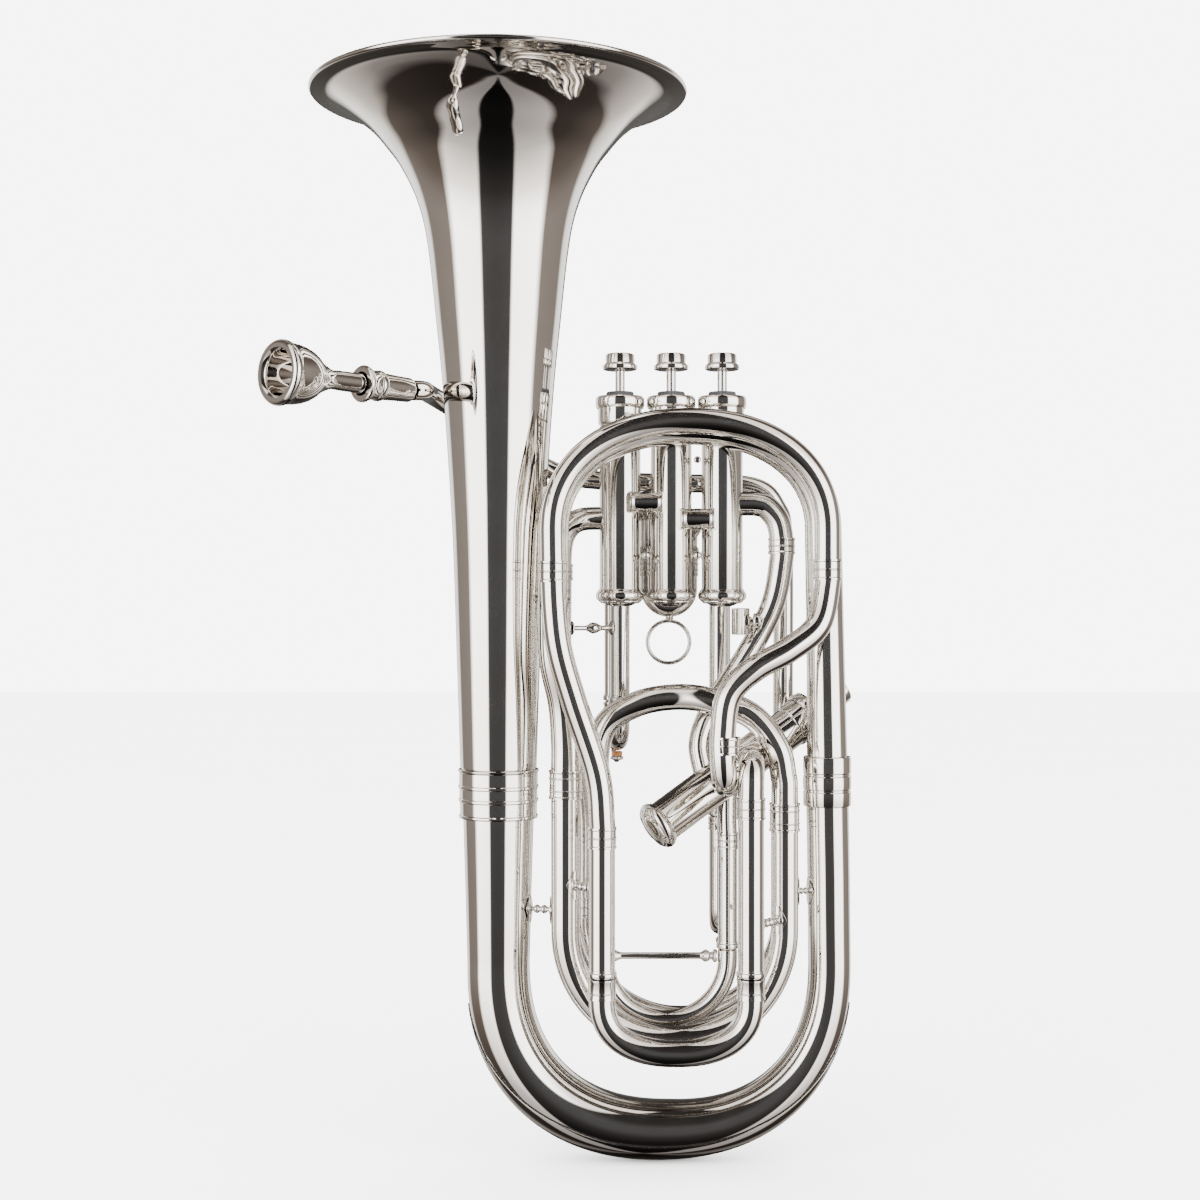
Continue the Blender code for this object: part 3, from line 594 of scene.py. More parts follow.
class HORN_OT_tuning_slide(Piece):
    """Main tuning slide: two sleeves, the sliding bow and its turned cross rod"""
    bl_idname = "horn.tuning_slide"
    bl_label = "Tuning slide"

    def execute(self, context):
        (left, right), y, r = TUNING_X, TUNING_Y, TUNING_R
        dress(sweep("tuning_sleeve_l", straight(left, y, 203.0, TUNING_END, r), wall=hollow()), "horn",
            ["tuning_sleeve_left"])
        feed = smooth([(46, 11.5, 252, 6.6), (41.6, 8.6, 234, 6.6), (41.0, 8, 219, 6.4),
            (right, y, 206, 6.3)])
        tube = sweep("tuning_sleeve_r", even(feed + [(right, y, TUNING_END, r)]), wall=hollow())
        dress(trim_to_side(tube), "horn", ["tuning_sleeve_right"])
        for side, x in (("l", left), ("r", right)):
            end_ring("tuning_ring_" + side, x, y, TUNING_END, r)
            band("tuning_band_" + side, (x, y, 197.5), 10.5, r + 0.5, r - 0.3, (5.2,), 0.4)
        bow = arch(1.45, 39.95, 126.3, -40.0, 2.0, (y, y), (r, r))
        route = (straight(right, y, 186, 132.6, 5.2) + [(right, y, 131.8, r)] + bow + [(left, y, 131.8, r)]
            + straight(left, y, 132.6, 186, 5.2))
        pipe("tuning_bow", route, "tuning_slide", "tuning_slide")
        rod = lathe("tuning_rod", [(0, 67.0), (3.6, 67.0), (4.3, 65.6), (4.3, 64.8), (2.4, 63.4),
            (2.4, 62.4), (3.4, 61.4), (4.1, 59.6), (3.4, 57.8), (2.6, 56.9), (2.2, 55.8), (2.2, 5.2),
            (2.7, 3.4), (3.6, 1.6), (3.9, 0.4), (0, 0.2)], (left + r - 0.1, y, 128.0), (1, 0, 0), 40)
        dress(rod, "tuning_slide", ["tuning_slide_rod"])
        return {"FINISHED"}


def side_valve(t):
    return SIDE_VALVE_BASE + SIDE_VALVE_AXIS * t


class HORN_OT_fourth_loop(Piece):
    """Front loop from the side valve over the top arch to its own slide"""
    bl_idname = "horn.fourth_loop"
    bl_label = "Fourth valve loop"

    def execute(self, context):
        (left, right), y, r = FOURTH_X, FOURTH_Y, LOOP_R
        start, end = side_valve(60), side_valve(82)
        route = (smooth([(start.x, start.y - 6, start.z, r), (start.x, -22, 242.8, r),
            (36.5, -36, 245.5, r), (35.3, -40, 256, r), (35, -40, 274, r), (38.9, -40, 299, r),
            (55.1, -39, 315.2, r), (76.8, -35, 327, r), (95.4, -30, 342.3, r), (101.8, -25, 367, r),
            (102, -24, 384, r)], 8) + arch(15.75, 86.25, 401.7, 68.1, 2.2, (-24, -44), (r, r))
            + smooth([(-70.3, -44, 386, r), (-69.4, -44, 355, r), (-66.2, -43.4, 327, r),
            (-57.2, -42, 295, r), (-43, -40.4, 251, r), (left, y, 220, r), (left, y, 207.3, r)]))
        tube = trim_to_side(sweep("fourth_tube", even(route)))
        dress(tube, "horn", ["loop4_branch"])
        bands = ((102, -24, 370.6), (-70.3, -44, 369.0), (left, y, 204.0), (right, y, 222.0))
        for n, (x, yy, z) in enumerate(bands, 1):
            band("fourth_band_%d" % n, (x, yy, z), 13.0, r + 0.55, r - 0.3, (6.5,), 0.4)
        band("fourth_band_near", (start.x - 0.3, y, 262), 11.0, r + 0.55, r - 0.3, (5.5,), 0.4)
        dress(sweep("fourth_sleeve_l", straight(left, y, 207.0, FOURTH_END, r), wall=hollow()), "horn",
            ["slide4_sleeve_left"])
        feed = smooth([(end.x, end.y - 6, end.z, r), (53.8, -22, 256.6, r), (53.4, -35, 254.5, r),
            (52.8, -39.4, 247, r), (right, y, 236, r)])
        tube = sweep("fourth_sleeve_r", even(feed + [(right, y, FOURTH_END, r)]), wall=hollow())
        dress(trim_to_side(tube), "horn", ["slide4_sleeve_right"])
        bow = arch(6.35, 46.25, 109.8, -33.5, 2.35, (y, y), (r, r))
        slide = (straight(right, y, 184, 123.6, 7.0) + [(right, y, 123.0, r)] + bow + [(left, y, 123.0, r)]
            + straight(left, y, 123.6, 184, 7.0))
        pipe("fourth_bow", slide, "slide4_bow", "slide_4")
        for side, x in (("l", left), ("r", right)):
            end_ring("fourth_ring_" + side, x, y, FOURTH_END, r)
            band("fourth_collar_" + side, (x, y, 110.4), 12.6, r + 0.5, r - 0.3, (4.0,), 0.35, "slide_4")
        return {"FINISHED"}


# ------------------------------------------------------------ valves

FELT_FOOT, FELT_KEEP = 137.8, 0.26
BUTTON_FOOT = 150
SPRING_R, SPRING_FOOT, SPRING_TALL, SPRING_KEEP = 8.3, 5.0, 37.4, 0.57
VALVE_PARTS = {
    "cap": [
        (0, 2.6), (12.2, 3.3), (13.7, 3.3), (13.7, 11.6), (14.0, 11.6), (14.3, 11.2), (14.5, 10.4),
        (15.2, 9.7), (15.7, 8.7), (15.9, 7.4), (15.7, 6.1), (15.2, 5.1), (14.4, 4.4), (13.4, 3.6),
        (12.4, 2.5), (9.6, 2.0), (8.7, 1.5), (7.4, 0.9), (5.0, 0.3), (0, 0.0)],
    "casing": [
        (14.25, 134.9), (14.25, 120.6), (14.0, 119.6), (13.45, 119.0), (13.35, 118.4), (13.35, 12.6),
        (13.55, 12.2), (13.55, 3.7), (12.5, 3.7), (12.5, 134.9)],
    "lid": [
        (4.4, 137.6), (11.6, 137.6), (12.2, 137.3), (12.9, 137.3), (13.6, 137.6), (14.4, 137.5),
        (15.3, 136.9), (15.75, 136.0), (15.9, 135.0), (15.9, 131.4), (15.6, 130.5), (15.2, 129.6),
        (14.7, 129.6), (14.7, 135.2), (4.4, 135.2)],
    "piston": [
        (0, 165.4), (5.0, 165.5), (8.2, 165.3), (9.0, 164.9), (9.4, 164.2), (9.4, 159.6), (9.6, 158.8),
        (10.4, 158.3), (11.1, 157.8), (11.3, 157.0), (11.3, 155.8), (11.0, 155.1), (10.3, 154.8),
        (3.7, 154.6), (3.1, 154.0), (3.1, 121.0), (3.9, 119.4), (6.5, 118.4), (11.2, 117.2),
        (11.9, 116.6), (11.9, 44.4), (11.5, 44.0), (11.0, 44.0), (11.0, 113.6), (0, 115.0)],
    "felt": [(4.2, 140.4), (8.4, 140.4), (9.0, 140.0), (9.0, 138.2), (8.4, FELT_FOOT), (4.2, FELT_FOOT)],
}


def coil(n, base, direction):
    """Wire spring from the bottom cap up into the piston."""
    turns, steps = 9, 40
    to_place = turned(base, direction)
    path = []
    for i in range(turns * steps + 1):
        a, f = 2 * math.pi * i / steps, i / (turns * steps)
        ease = min(1.0, 6 * f, 6 * (1 - f))
        up = SPRING_FOOT + SPRING_TALL * (f + 0.012 * (1 - ease) * (1 - 2 * f))
        spot = to_place @ Vector((SPRING_R * math.cos(a), SPRING_R * math.sin(a), up))
        path.append((*spot, 0.55))
    spring = sweep("spring_%d" % n, path, sides=10)
    dress(spring, "horn", ["return_spring_%d" % n], spring_steel())
    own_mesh(spring)
    return spring


class HORN_OT_valves(Piece):
    """Four piston valves: casings, caps, pistons with their buttons, felts and springs"""
    bl_idname = "horn.valves"
    bl_label = "Piston valves"

    def execute(self, context):
        for n, x in enumerate(VALVE_X, 1):
            self.valve(n, Vector((x, VALVE_Y, VALVE_Z)), UP)
        self.valve(4, SIDE_VALVE_BASE, SIDE_VALVE_AXIS)
        for n in (1, 2):
            z = middle("valve_link_%d%d" % (n, n + 1)).z
            x0, w = VALVE_X[n - 1] + 6.0, VALVE_X[n] - VALVE_X[n - 1] - 12.0
            link = lathe("valve_bridge_%d" % n, [(0, 0), (6.9, 0), (7.2, 0.5), (7.2, 1.6), (6.6, 2.6),
                (6.5, 4.4), (6.9, w / 2), (6.5, w - 4.4), (6.6, w - 2.6), (7.2, w - 1.6), (7.2, w - 0.5),
                (6.9, w), (0, w)], (x0, VALVE_Y - 11.0, z), (1, 0, 0), 80)
            link = trim_to_top(trim_to_top(link, n), n + 1)
            dress(link, "horn", ["valve_link_%d%d" % (n, n + 1)])
            self.stay(n, VALVE_X[n - 1] + CASING_R - 0.6, VALVE_X[n] - CASING_R + 0.6, 387.0)
        pin = lathe("valve_pin", [(0, 0), (1.7, 0), (1.7, 1.2), (1.1, 1.8), (1.1, 5.2), (1.9, 6.0),
            (2.4, 7.4), (1.9, 8.8), (0, 9.4)], ((VALVE_X[1] + VALVE_X[2]) / 2, VALVE_Y - 2.6, 449.0),
            (0, -1, 0), 36)
        dress(pin, "horn")
        return {"FINISHED"}

    def valve(self, n, base, direction):
        kinds = (("cap", "bottom_cap", "horn", False), ("casing", "casing", "horn", True),
            ("lid", "top_cap", "horn", True), ("piston", "piston", "valve_%d" % n, False))
        for kind, node, body, ringed in kinds:
            piece = lathe("valve_%d_%s" % (n, kind), VALVE_PARTS[kind], base, direction, 80, ringed, 0.12)
            if kind == "piston":
                dress(piece, body, ["%s_%d" % (node, n)], piston_metal())
                piece.data.materials.append(silver())
                top = (Vector(base) + Vector(direction) * BUTTON_FOOT) * MM
                for face in piece.data.polygons:
                    if (face.center - top).dot(Vector(direction)) > 0:
                        face.material_index = 1
            else:
                dress(piece, body, ["%s_%d" % (node, n)])
        washer = lathe("valve_%d_felt" % n, VALVE_PARTS["felt"], base, direction, 48, True, 0)
        dress(washer, "horn", finish=felt())
        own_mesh(washer)
        coil(n, base, direction)

    def stay(self, n, x0, x1, z):
        """Small stay between two casings, with a round-headed screw in its middle."""
        w = x1 - x0
        stud = lathe("valve_stud_%d" % n, [(0, 0), (1.2, 0), (1.2, 7.6), (2.1, 8.2), (2.6, 9.4),
            (2.6, 10.6), (2.1, 11.8), (1.2, 12.5), (0, 12.7)], ((x0 + x1) / 2, VALVE_Y, z), (0, -1, 0), 40)
        dress(stud, "horn")
        bar = lathe("valve_stay_%d" % n, [(0, 0), (3.2, 0), (3.2, 0.5), (1.4, 1.2), (1.4, w / 2 - 1.2),
            (1.9, w / 2), (1.4, w / 2 + 1.2), (1.4, w - 1.2), (3.2, w - 0.5), (3.2, w), (0, w)],
            (x0, VALVE_Y, z), (1, 0, 0), 32)
        dress(bar, "horn")


# ------------------------------------------------------------ small slides and the air's way between valves

class HORN_OT_small_slides(Piece):
    """First, second and third slides with their sleeves, knuckles and pull ring"""
    bl_idname = "horn.small_slides"
    bl_label = "Small slides"

    def execute(self, context):
        self.rear_slide(1, FIRST)
        self.rear_slide(3, THIRD)
        self.second()
        return {"FINISHED"}

    def rear_slide(self, n, spec):
        (xa, ya), (xb, yb) = spec["legs"]
        vx, end, r = VALVE_X[spec["valve"] - 1], spec["end"], SMALL_R
        start = VALVE_Y + CASING_R - 0.7
        front = ([(vx, start, 392.6, r), (vx, 33.2, 392.6, r)] + smooth([(vx, 34.2, 392.5, r),
            (xa, 38.6, 390.6, r), (xa, 41.4, 386.6, r), (xa, ya, 381, r)]) + [(xa, ya, end, r)])
        rear = ([(vx, start, 417.5, r), (xb, yb - 13, 417.5, r)]
            + smooth([(xb, yb - 12, 417.4, r), (xb, yb - 5.4, 415.6, r), (xb, yb - 1.2, 410.4, r),
            (xb, yb, 403, r)]) + [(xb, yb, end, r)])
        for side, route in (("front", front), ("rear", rear)):
            tube = sweep("slide_%d_%s_sleeve" % (n, side), even(route), wall=hollow())
            dress(tube, "horn", ["slide%d_sleeves" % n] if side == "front" else [])
        across = Vector((xb - xa, yb - ya, 0))
        gap = across.length - 2 * r
        foot = Vector((xa, ya, end + 40)) + across.normalized() * r
        strut = lathe("slide_%d_strut" % n, [(0, gap), (3.4, gap), (3.4, gap - 0.7), (1.5, gap - 1.5),
            (1.5, gap * 0.62), (2.2, gap / 2), (1.5, gap * 0.38), (1.5, 1.5), (3.4, 0.7), (3.4, 0), (0, 0)],
            foot, across, 32)
        dress(strut, "horn")
        half = (yb - ya) / 2
        bend = [(xa + (xb - xa) * (half - x) / (2 * half), ya + half - x, z, rr) for x, y, z,
            rr in arch(0, half, spec["low"] + half, -half, 2.0, (0, 0), (r, r), 40)]
        bow = ([(xa, ya, spec["top"], 5.4), (xa, ya, end - 0.2, 5.4), (xa, ya, end - 1.0, r)] + bend
            + [(xb, yb, end - 1.0, r), (xb, yb, end - 0.2, 5.4), (xb, yb, spec["top"], 5.4)])
        pipe("slide_%d_bow" % n, bow, "slide%d_bow" % n, "slide_%d" % n)
        for side, (x, y) in (("front", (xa, ya)), ("rear", (xb, yb))):
            end_ring("slide_%d_ring_%s" % (n, side), x, y, end, r)
            band("slide_%d_collar_%s" % (n, side), (x, y, end - 9.4), 8.0, r + 0.5, r - 0.3, (4.0,), 0.3,
                body="slide_%d" % n)
        if n == 3:
            knob = lathe("slide_3_knob", [(0, 0), (1.4, 0), (1.3, 1.6), (2.4, 2.6), (3.0, 4.2), (2.5, 5.8),
                (1.3, 6.8), (0, 7.0)], ((xa + xb) / 2, (ya + yb) / 2, spec["low"] + 0.2 - r), (0, 0, -1),
                32)
            dress(knob, "slide_3")

    def second(self):
        y, r, low_z = SECOND_Y, SECOND_R, 388.0
        for side, x, z in (("left", SECOND_X[0], 418.0), ("right", SECOND_X[1], 407.0)):
            knuckle = lathe("knuckle_" + side, [(0, 7.4), (2.6, 7.3), (4.9, 6.8), (6.9, 5.7), (8.3, 4.2),
                (9.1, 2.2), (9.3, 0), (9.1, -2.2), (8.4, -4.0), (7.3, -5.6), (6.5, -6.6), (r, -7.4),
                (r, low_z + 5.6 - z), (r + 0.3, low_z + 5.0 - z), (r + 1.0, low_z + 4.4 - z),
                (r + 1.1, low_z + 3.4 - z), (r + 1.1, low_z + 1.0 - z), (r + 0.8, low_z - z),
                (5.6, low_z - z), (5.6, 2.0), (3.6, 5.0), (0, 5.8)], (x, y, z), UP, 64)
            dress(knuckle, "horn", ["slide2_knuckle_" + side])
            here, there = Vector((x, y, z)), Vector((VALVE_X[1], VALVE_Y, z))
            way = (there - here).normalized()
            reach = (there - here).length - CASING_R + 4.0
            neck = lathe("knuckle_neck_" + side, [(6.9, reach), (6.9, reach - 5.4), (5.9, reach - 6.2),
                (5.8, 7.0), (5.0, 7.0), (5.0, reach)], here, way, 48, True)
            dress(trim_to_top(neck, 2), "horn")
        (xl, xr), mid, half = SECOND_X, sum(SECOND_X) / 2, (SECOND_X[1] - SECOND_X[0]) / 2
        bow = ([(xr, y, 403.0, 5.2), (xr, y, low_z - 0.2, 5.2), (xr, y, low_z - 1.0, r)]
            + arch(mid, half, 365.6, -half, 2.0, (y, y), (r, r), 48)
            + [(xl, y, low_z - 1.0, r), (xl, y, low_z - 0.2, 5.2), (xl, y, 403.0, 5.2)])
        dress(sweep("slide_2_bow", even(bow, 2)), "slide_2", ["slide2_bow"])
        for side, x in (("left", xl), ("right", xr)):
            band("slide_2_collar_" + side, (x, y, 374.0), 12.0, r + 0.5, r - 0.3, (4.0, 8.0), 0.3,
                body="slide_2")
        x, z, big = 4.5, 330.1, 14.0
        bpy.ops.object.select_all(action="DESELECT")
        bpy.ops.mesh.primitive_torus_add(
            major_radius=big * MM, minor_radius=1.3 * MM, major_segments=96, minor_segments=20,
            location=(x * MM, y * MM, z * MM), rotation=(math.radians(90), 0, 0))
        ring = bpy.context.object
        ring.name = "pull_ring"
        bpy.ops.object.transform_apply(location=True, rotation=True, scale=True)
        tidy_mesh(ring, 40)
        dress(ring, "slide_2", ["slide2_pull_ring"])
        post = lathe("pull_ring_post", [(0, 8.2), (3.4, 8.0), (3.4, 7.3), (2.0, 6.4), (1.7, 4.6),
            (2.3, 3.4), (2.7, 1.8), (2.2, 0.4), (1.5, -0.6), (0, -0.9)], (x + 0.6, y, z + big), UP, 40)
        dress(post, "slide_2")


class HORN_OT_air_way(Piece):
    """Leadpipe, return tube and the crook between the valves"""
    bl_idname = "horn.air_way"
    bl_label = "Leadpipe and crooks"

    def execute(self, context):
        crook = ([(VALVE_X[2] + CASING_R - 5.0, VALVE_Y, 421, 8.0), (58.5, VALVE_Y, 421, 8.0)]
            + smooth([(60, 20, 421, 8.0), (67.5, 20, 418.8, 8.0), (75.0, 20, 409.5, 8.0),
            (77.6, 20, 396, 8.0), (77.5, 20, 385, 8.0), (72.6, 19.5, 358, 7.8), (61.5, 18.5, 333.8, 7.7),
            (44, 16.5, 305.5, 7.5), (30.4, 14.6, 285.2, 7.3), (23.4, 11.5, 265, 7.2),
            (26.3, 8.2, 246, 7.2)]))
        tube = trim_to_side(sweep("valve_crook_tube", even(crook)))
        dress(trim_to_top(tube, 3), "horn", ["valve_crook"])
        band("crook_band", (77.6, 20, 388), 10.5, 8.6, 7.6, (5.2,), 0.4)
        joint = MOUTH + MOUTH_AXIS * 101.0
        lead = (smooth([(joint.x, joint.y, joint.z, 6.2), (-151.5, -34, 488.5, 6.2), (-151, 0, 490.5, 6.2),
            (-139, 31, 485, 6.2), (-106, 47, 466, 6.2), (-76, 47.5, 446, 6.2), (-49, 46, 438.5, 6.2),
            (8, 46, 436, 6.2), (60, 47, 434, 6.3), (77, 49, 420, 6.4), (81.5, 50, 396, 6.5),
            (81.5, 50, 300, 6.7), (81.4, 50, 200, 6.8)])[:-1] + arch(13.2, 68.2, 150, -68, 2.0, (50, 25),
            (6.9, 7.2)) + [(-55, 25, 156.7, 7.2)])
        pipe("leadpipe_tube", lead, "leadpipe")
        back = (smooth([(-55, 25, 157.0, 7.2), (-55, 25, 215, 7.2), (-58.5, 25, 250, 7.2),
            (-65, 25, 290, 7.3), (-67, 25, 320, 7.3), (-67, 25, 370, 7.4), (-66.6, 25, 393, 7.6),
            (-62.4, 24.2, 404.6, 7.6), (-53.5, 22.5, 410.6, 7.6),
            (VALVE_X[0] - CASING_R + 4.6, VALVE_Y + 0.6, 411.5, 7.6)]))
        dress(trim_to_top(sweep("return_tube_bend", even(back)), 1), "horn", ["return_tube"])
        band("return_band", (-67, 25, 371), 10.5, 8.0, 7.0, (5.2,), 0.4)
        band("leadpipe_band", (-55, 25, 150.5), 13.0, 7.8, 6.9, (6.5,), 0.4)
        return {"FINISHED"}


# ------------------------------------------------------------ mouthpiece and receiver

class HORN_OT_mouthpiece(Piece):
    """Cup mouthpiece and the flared receiver it sits in"""
    bl_idname = "horn.mouthpiece"
    bl_label = "Mouthpiece and receiver"

    def execute(self, context):
        cup = lathe("mouthpiece_cup", [(13.7, -0.9), (14.6, -0.15), (15.8, 0.0), (17.4, -0.15),
            (18.5, -0.8), (19.1, -1.9), (19.2, -3.2), (19.0, -4.4), (18.5, -5.4), (18.1, -6.6),
            (17.9, -9.0), (17.5, -13.0), (16.7, -17.0), (15.2, -21.4), (13.0, -25.4), (10.8, -28.4),
            (9.0, -31.2), (7.8, -34.0), (6.6, -36.8), (6.0, -38.6), (5.6, -40.4), (5.9, -46.0),
            (6.05, -61.0), (5.2, -81.6), (4.9, -82.0), (4.3, -82.0), (4.2, -81.4), (2.8, -33.0),
            (2.9, -28.4), (4.2, -25.4), (7.2, -21.2), (10.0, -16.4), (11.8, -10.4), (12.6, -5.4),
            (12.9, -2.2)], MOUTH, -MOUTH_AXIS, 112, True, 0.12)
        dress(cup, "mouthpiece", ["mouthpiece"])
        collar = lathe("receiver_collar", [(7.2, -62.4), (9.8, -62.4), (10.7, -62.7), (11.2, -63.6),
            (11.1, -64.8), (10.2, -66.4), (9.2, -69.0), (8.6, -71.6), (8.5, -73.0), (9.1, -73.5),
            (9.3, -74.4), (9.3, -76.2), (9.0, -77.2), (8.4, -77.8), (8.2, -79.0), (7.7, -90.0),
            (7.5, -99.2), (7.2, -100.0), (6.6, -100.0), (6.6, -82.0)], MOUTH, -MOUTH_AXIS, 96, True, 0.15)
        dress(collar, "horn", ["receiver"])
        return {"FINISHED"}


# ------------------------------------------------------------ braces

def brace(name, a, ra, b, rb, node=None, girth=1.0):
    """Turned double-ball brace between two tubes, with a shaped flange soldered on each."""
    a, b = Vector(a), Vector(b)
    way = (b - a).normalized()
    start, length = a + way * (ra - 0.3), (b - a).length - ra - rb + 0.6
    m, g = length / 2, girth
    k = min(1.0, m / 7.5)
    half = [(0, 0), (4.0 * g, 0), (4.0 * g, 0.9 * k), (3.0 * g, 1.5 * k), (1.7 * g, 1.9 * k),
        (1.4 * g, 2.6 * k), (1.4 * g, m - 4.6 * k), (1.9 * g, m - 4.2 * k), (2.6 * g, m - 3.2 * k),
        (2.8 * g, m - 2.3 * k), (2.5 * g, m - 1.3 * k), (1.6 * g, m - 0.4 * k)]
    profile = list(reversed(half + [(r, length - h) for r, h in reversed(half)]))
    bar = lathe(name, profile, start, way, 40, soften=0.1)
    dress(bar, "horn", [node] if node else [])
    for n, (centre, toward, r) in enumerate(((a, way, ra), (b, -way, rb)), 1):
        flange(name + "_flange_%d" % n, centre, toward, r)
    return bar


def flange(name, centre, toward, r, long=9.0, wide=5.6):
    """Diamond foot bent round an upright tube."""
    bpy.ops.object.select_all(action="DESELECT")
    bpy.ops.mesh.primitive_grid_add(x_subdivisions=12, y_subdivisions=16, size=2)
    foot = bpy.context.object
    foot.name = name
    toward = Vector((toward[0], toward[1], 0)).normalized()
    side = UP.cross(toward)
    for vert in foot.data.vertices:
        up = vert.co.y * long
        across = vert.co.x * (wide * (1 - abs(vert.co.y)) ** 0.75 + 0.5)
        a = across / r
        spot = Vector(centre) + (r + 0.05) * (toward * math.cos(a) + side * math.sin(a)) + UP * up
        vert.co = spot * MM
    apply(foot, "SOLIDIFY", thickness=0.8 * MM, offset=1)
    face_out(foot)
    bpy.ops.object.shade_smooth_by_angle(angle=math.radians(40))
    apply(foot, "BEVEL", width=0.2 * MM, segments=2, limit_method="ANGLE", angle_limit=math.radians(60))
    return dress(foot, "horn")


class HORN_OT_braces(Piece):
    """Stays that tie the tubes together"""
    bl_idname = "horn.braces"
    bl_label = "Braces"

    def execute(self, context):
        brace("stay_bell", (BELL_X, 0, 161), 21.2, (*LEFT_LEG, 161), 9.2, "brace_bell_side")
        brace("stay_slide_left", (*LEFT_LEG, 178), 9.2, (FOURTH_X[0], FOURTH_Y, 178), LOOP_R,
            "brace_slide4_left")
        brace("stay_slide_right", (FOURTH_X[1], FOURTH_Y, 155), LOOP_R, (*RIGHT_LEG, 155), 8.7,
              "brace_slide4_right")
        brace("stay_riser", (*RIGHT_LEG, 172), 8.7, (RISER_X + 1.1, 0, 172), 13.6, "brace_bow_right", 0.8)
        start, far = Vector((-67, 25, 339.5)), Vector((-27.8, 42, 339.5))
        way = (far - start).normalized()
        span = (far - start).length - 7.3 - SMALL_R
        baluster = lathe("stay_baluster", [(0, span), (4.8, span), (4.8, span - 0.8), (3.2, span - 1.5),
            (1.8, span - 2.2), (1.6, span * 0.76), (2.4, span * 0.70), (3.5, span * 0.62),
            (3.8, span * 0.55), (3.3, span * 0.48), (2.2, span * 0.42), (1.6, span * 0.36), (1.6, 2.4),
            (3.2, 1.5), (4.8, 0.8), (4.8, 0), (0, 0)], start + way * 7.3, way, 48)
        dress(baluster, "horn", ["baluster_brace"])
        brace("stay_leadpipe", (81.5, 50, 262), 6.7, (41.0, 68.0, 262), SMALL_R)
        return {"FINISHED"}


# ------------------------------------------------------------ lyre holder, thumbscrew and water key

class HORN_OT_fittings(Piece):
    """Lyre holder with its thumbscrew, and the water key"""
    bl_idname = "horn.fittings"
    bl_label = "Lyre holder and water key"

    def execute(self, context):
        self.lyre()
        self.screw()
        self.water_key()
        return {"FINISHED"}

    def block(self, name, centre, size, bevel, turn=0):
        bpy.ops.object.select_all(action="DESELECT")
        bpy.ops.mesh.primitive_cube_add(size=1, location=Vector(centre) * MM)
        piece = bpy.context.object
        piece.name = name
        piece.scale = Vector(size) * MM
        piece.rotation_euler.z = math.radians(turn)
        bpy.ops.object.transform_apply(location=True, rotation=True, scale=True)
        if bevel:
            apply(piece, "BEVEL", width=bevel * MM, segments=4, limit_method="NONE")
        return piece

    def lyre(self):
        holder = self.block("lyre_block", (49.5, 4.0, 344.2), (8.8, 8.8, 17.2), 0.8, 45)
        foot = self.block("lyre_foot", (53.2, 12.6, 344.0), (8.0, 9.2, 7.0), 1.2)
        socket = self.block("lyre_socket", (49.5, 4.0, 344.2), (5.2, 5.2, 30.0), 0)
        for other, how in ((foot, "UNION"), (socket, "DIFFERENCE")):
            apply(holder, "BOOLEAN", operation=how, object=other, solver="EXACT")
            bpy.data.objects.remove(other, do_unlink=True)
        tidy_mesh(holder, 35)
        dress(holder, "horn", ["lyre_holder"])

    def screw(self):
        count = 28
        screw = lathe("lyre_thumbscrew", [(0, 6.5), (3.6, 6.5), (4.2, 6.3), (5.0, 6.2), (5.3, 5.7),
            (5.3, 2.4), (5.0, 1.9), (4.2, 1.7), (2.0, 1.6), (2.0, 0.1), (0, 0.1)], (0, 0, 0), UP, 2 * count,
            soften=0)
        for vert in screw.data.vertices:
            flat = Vector((vert.co.x, vert.co.y, 0))
            tooth = round(math.atan2(flat.y, flat.x) / (math.pi / count)) % 2
            if flat.length > 4.9 * MM and tooth:
                vert.co.x *= 0.93
                vert.co.y *= 0.93
        put(screw, (55.9, 4.0, 344.2), (1, 0, 0))
        dress(screw, "lyre_screw", ["lyre_screw"])

    def water_key(self):
        (xa, _), (xb, _) = FIRST["legs"]
        x, y, z = (xa + xb) / 2, 54.0, FIRST["low"] - SMALL_R
        pad = lathe("water_key_pad", [(0, 3.1), (3.2, 3.1), (3.6, 2.8), (3.7, 2.3), (3.7, 0.2), (3.5, 0.0),
            (0, 0)], (x, y, z - 3.6), UP, 48, soften=0)
        dress(pad, "water_key", ["water_key_cork"], cork())
        cup = lathe("water_key_cup", [(0, 2.2), (4.0, 2.2), (4.4, 1.9), (4.4, 0.6), (3.8, 0.1), (2.4, -0.3),
            (0, -0.4)], (x, y, z - 6.2), UP, 56)
        dress(cup, "water_key", ["water_key"])
        arm = smooth([(x, 54, 250.7, 1.7), (-30.5, 62, 250.5, 1.8), (-31.6, 71, 253.5, 1.8),
            (-32.0, 76.5, 262, 1.8), (-32.2, 77.5, 270, 2.3), (-32.2, 79.5, 280, 1.9),
            (-32.2, 82.0, 291, 2.7), (-32.2, 83.0, 297, 2.1)])
        dress(sweep("water_key_lever", arm, sides=24), "water_key")
        barrel = lathe("water_key_barrel", [(0, 10), (1.2, 10), (2.5, 9.7), (2.8, 9.2), (2.8, 7.2),
            (2.4, 6.8), (2.4, 3.2), (2.8, 2.8), (2.8, 0.8), (2.5, 0.3), (1.2, 0), (0, 0)],
            (-37.2, 77.5, 270.0), (1, 0, 0), 40)
        dress(barrel, "water_key")


# ------------------------------------------------------------ stage

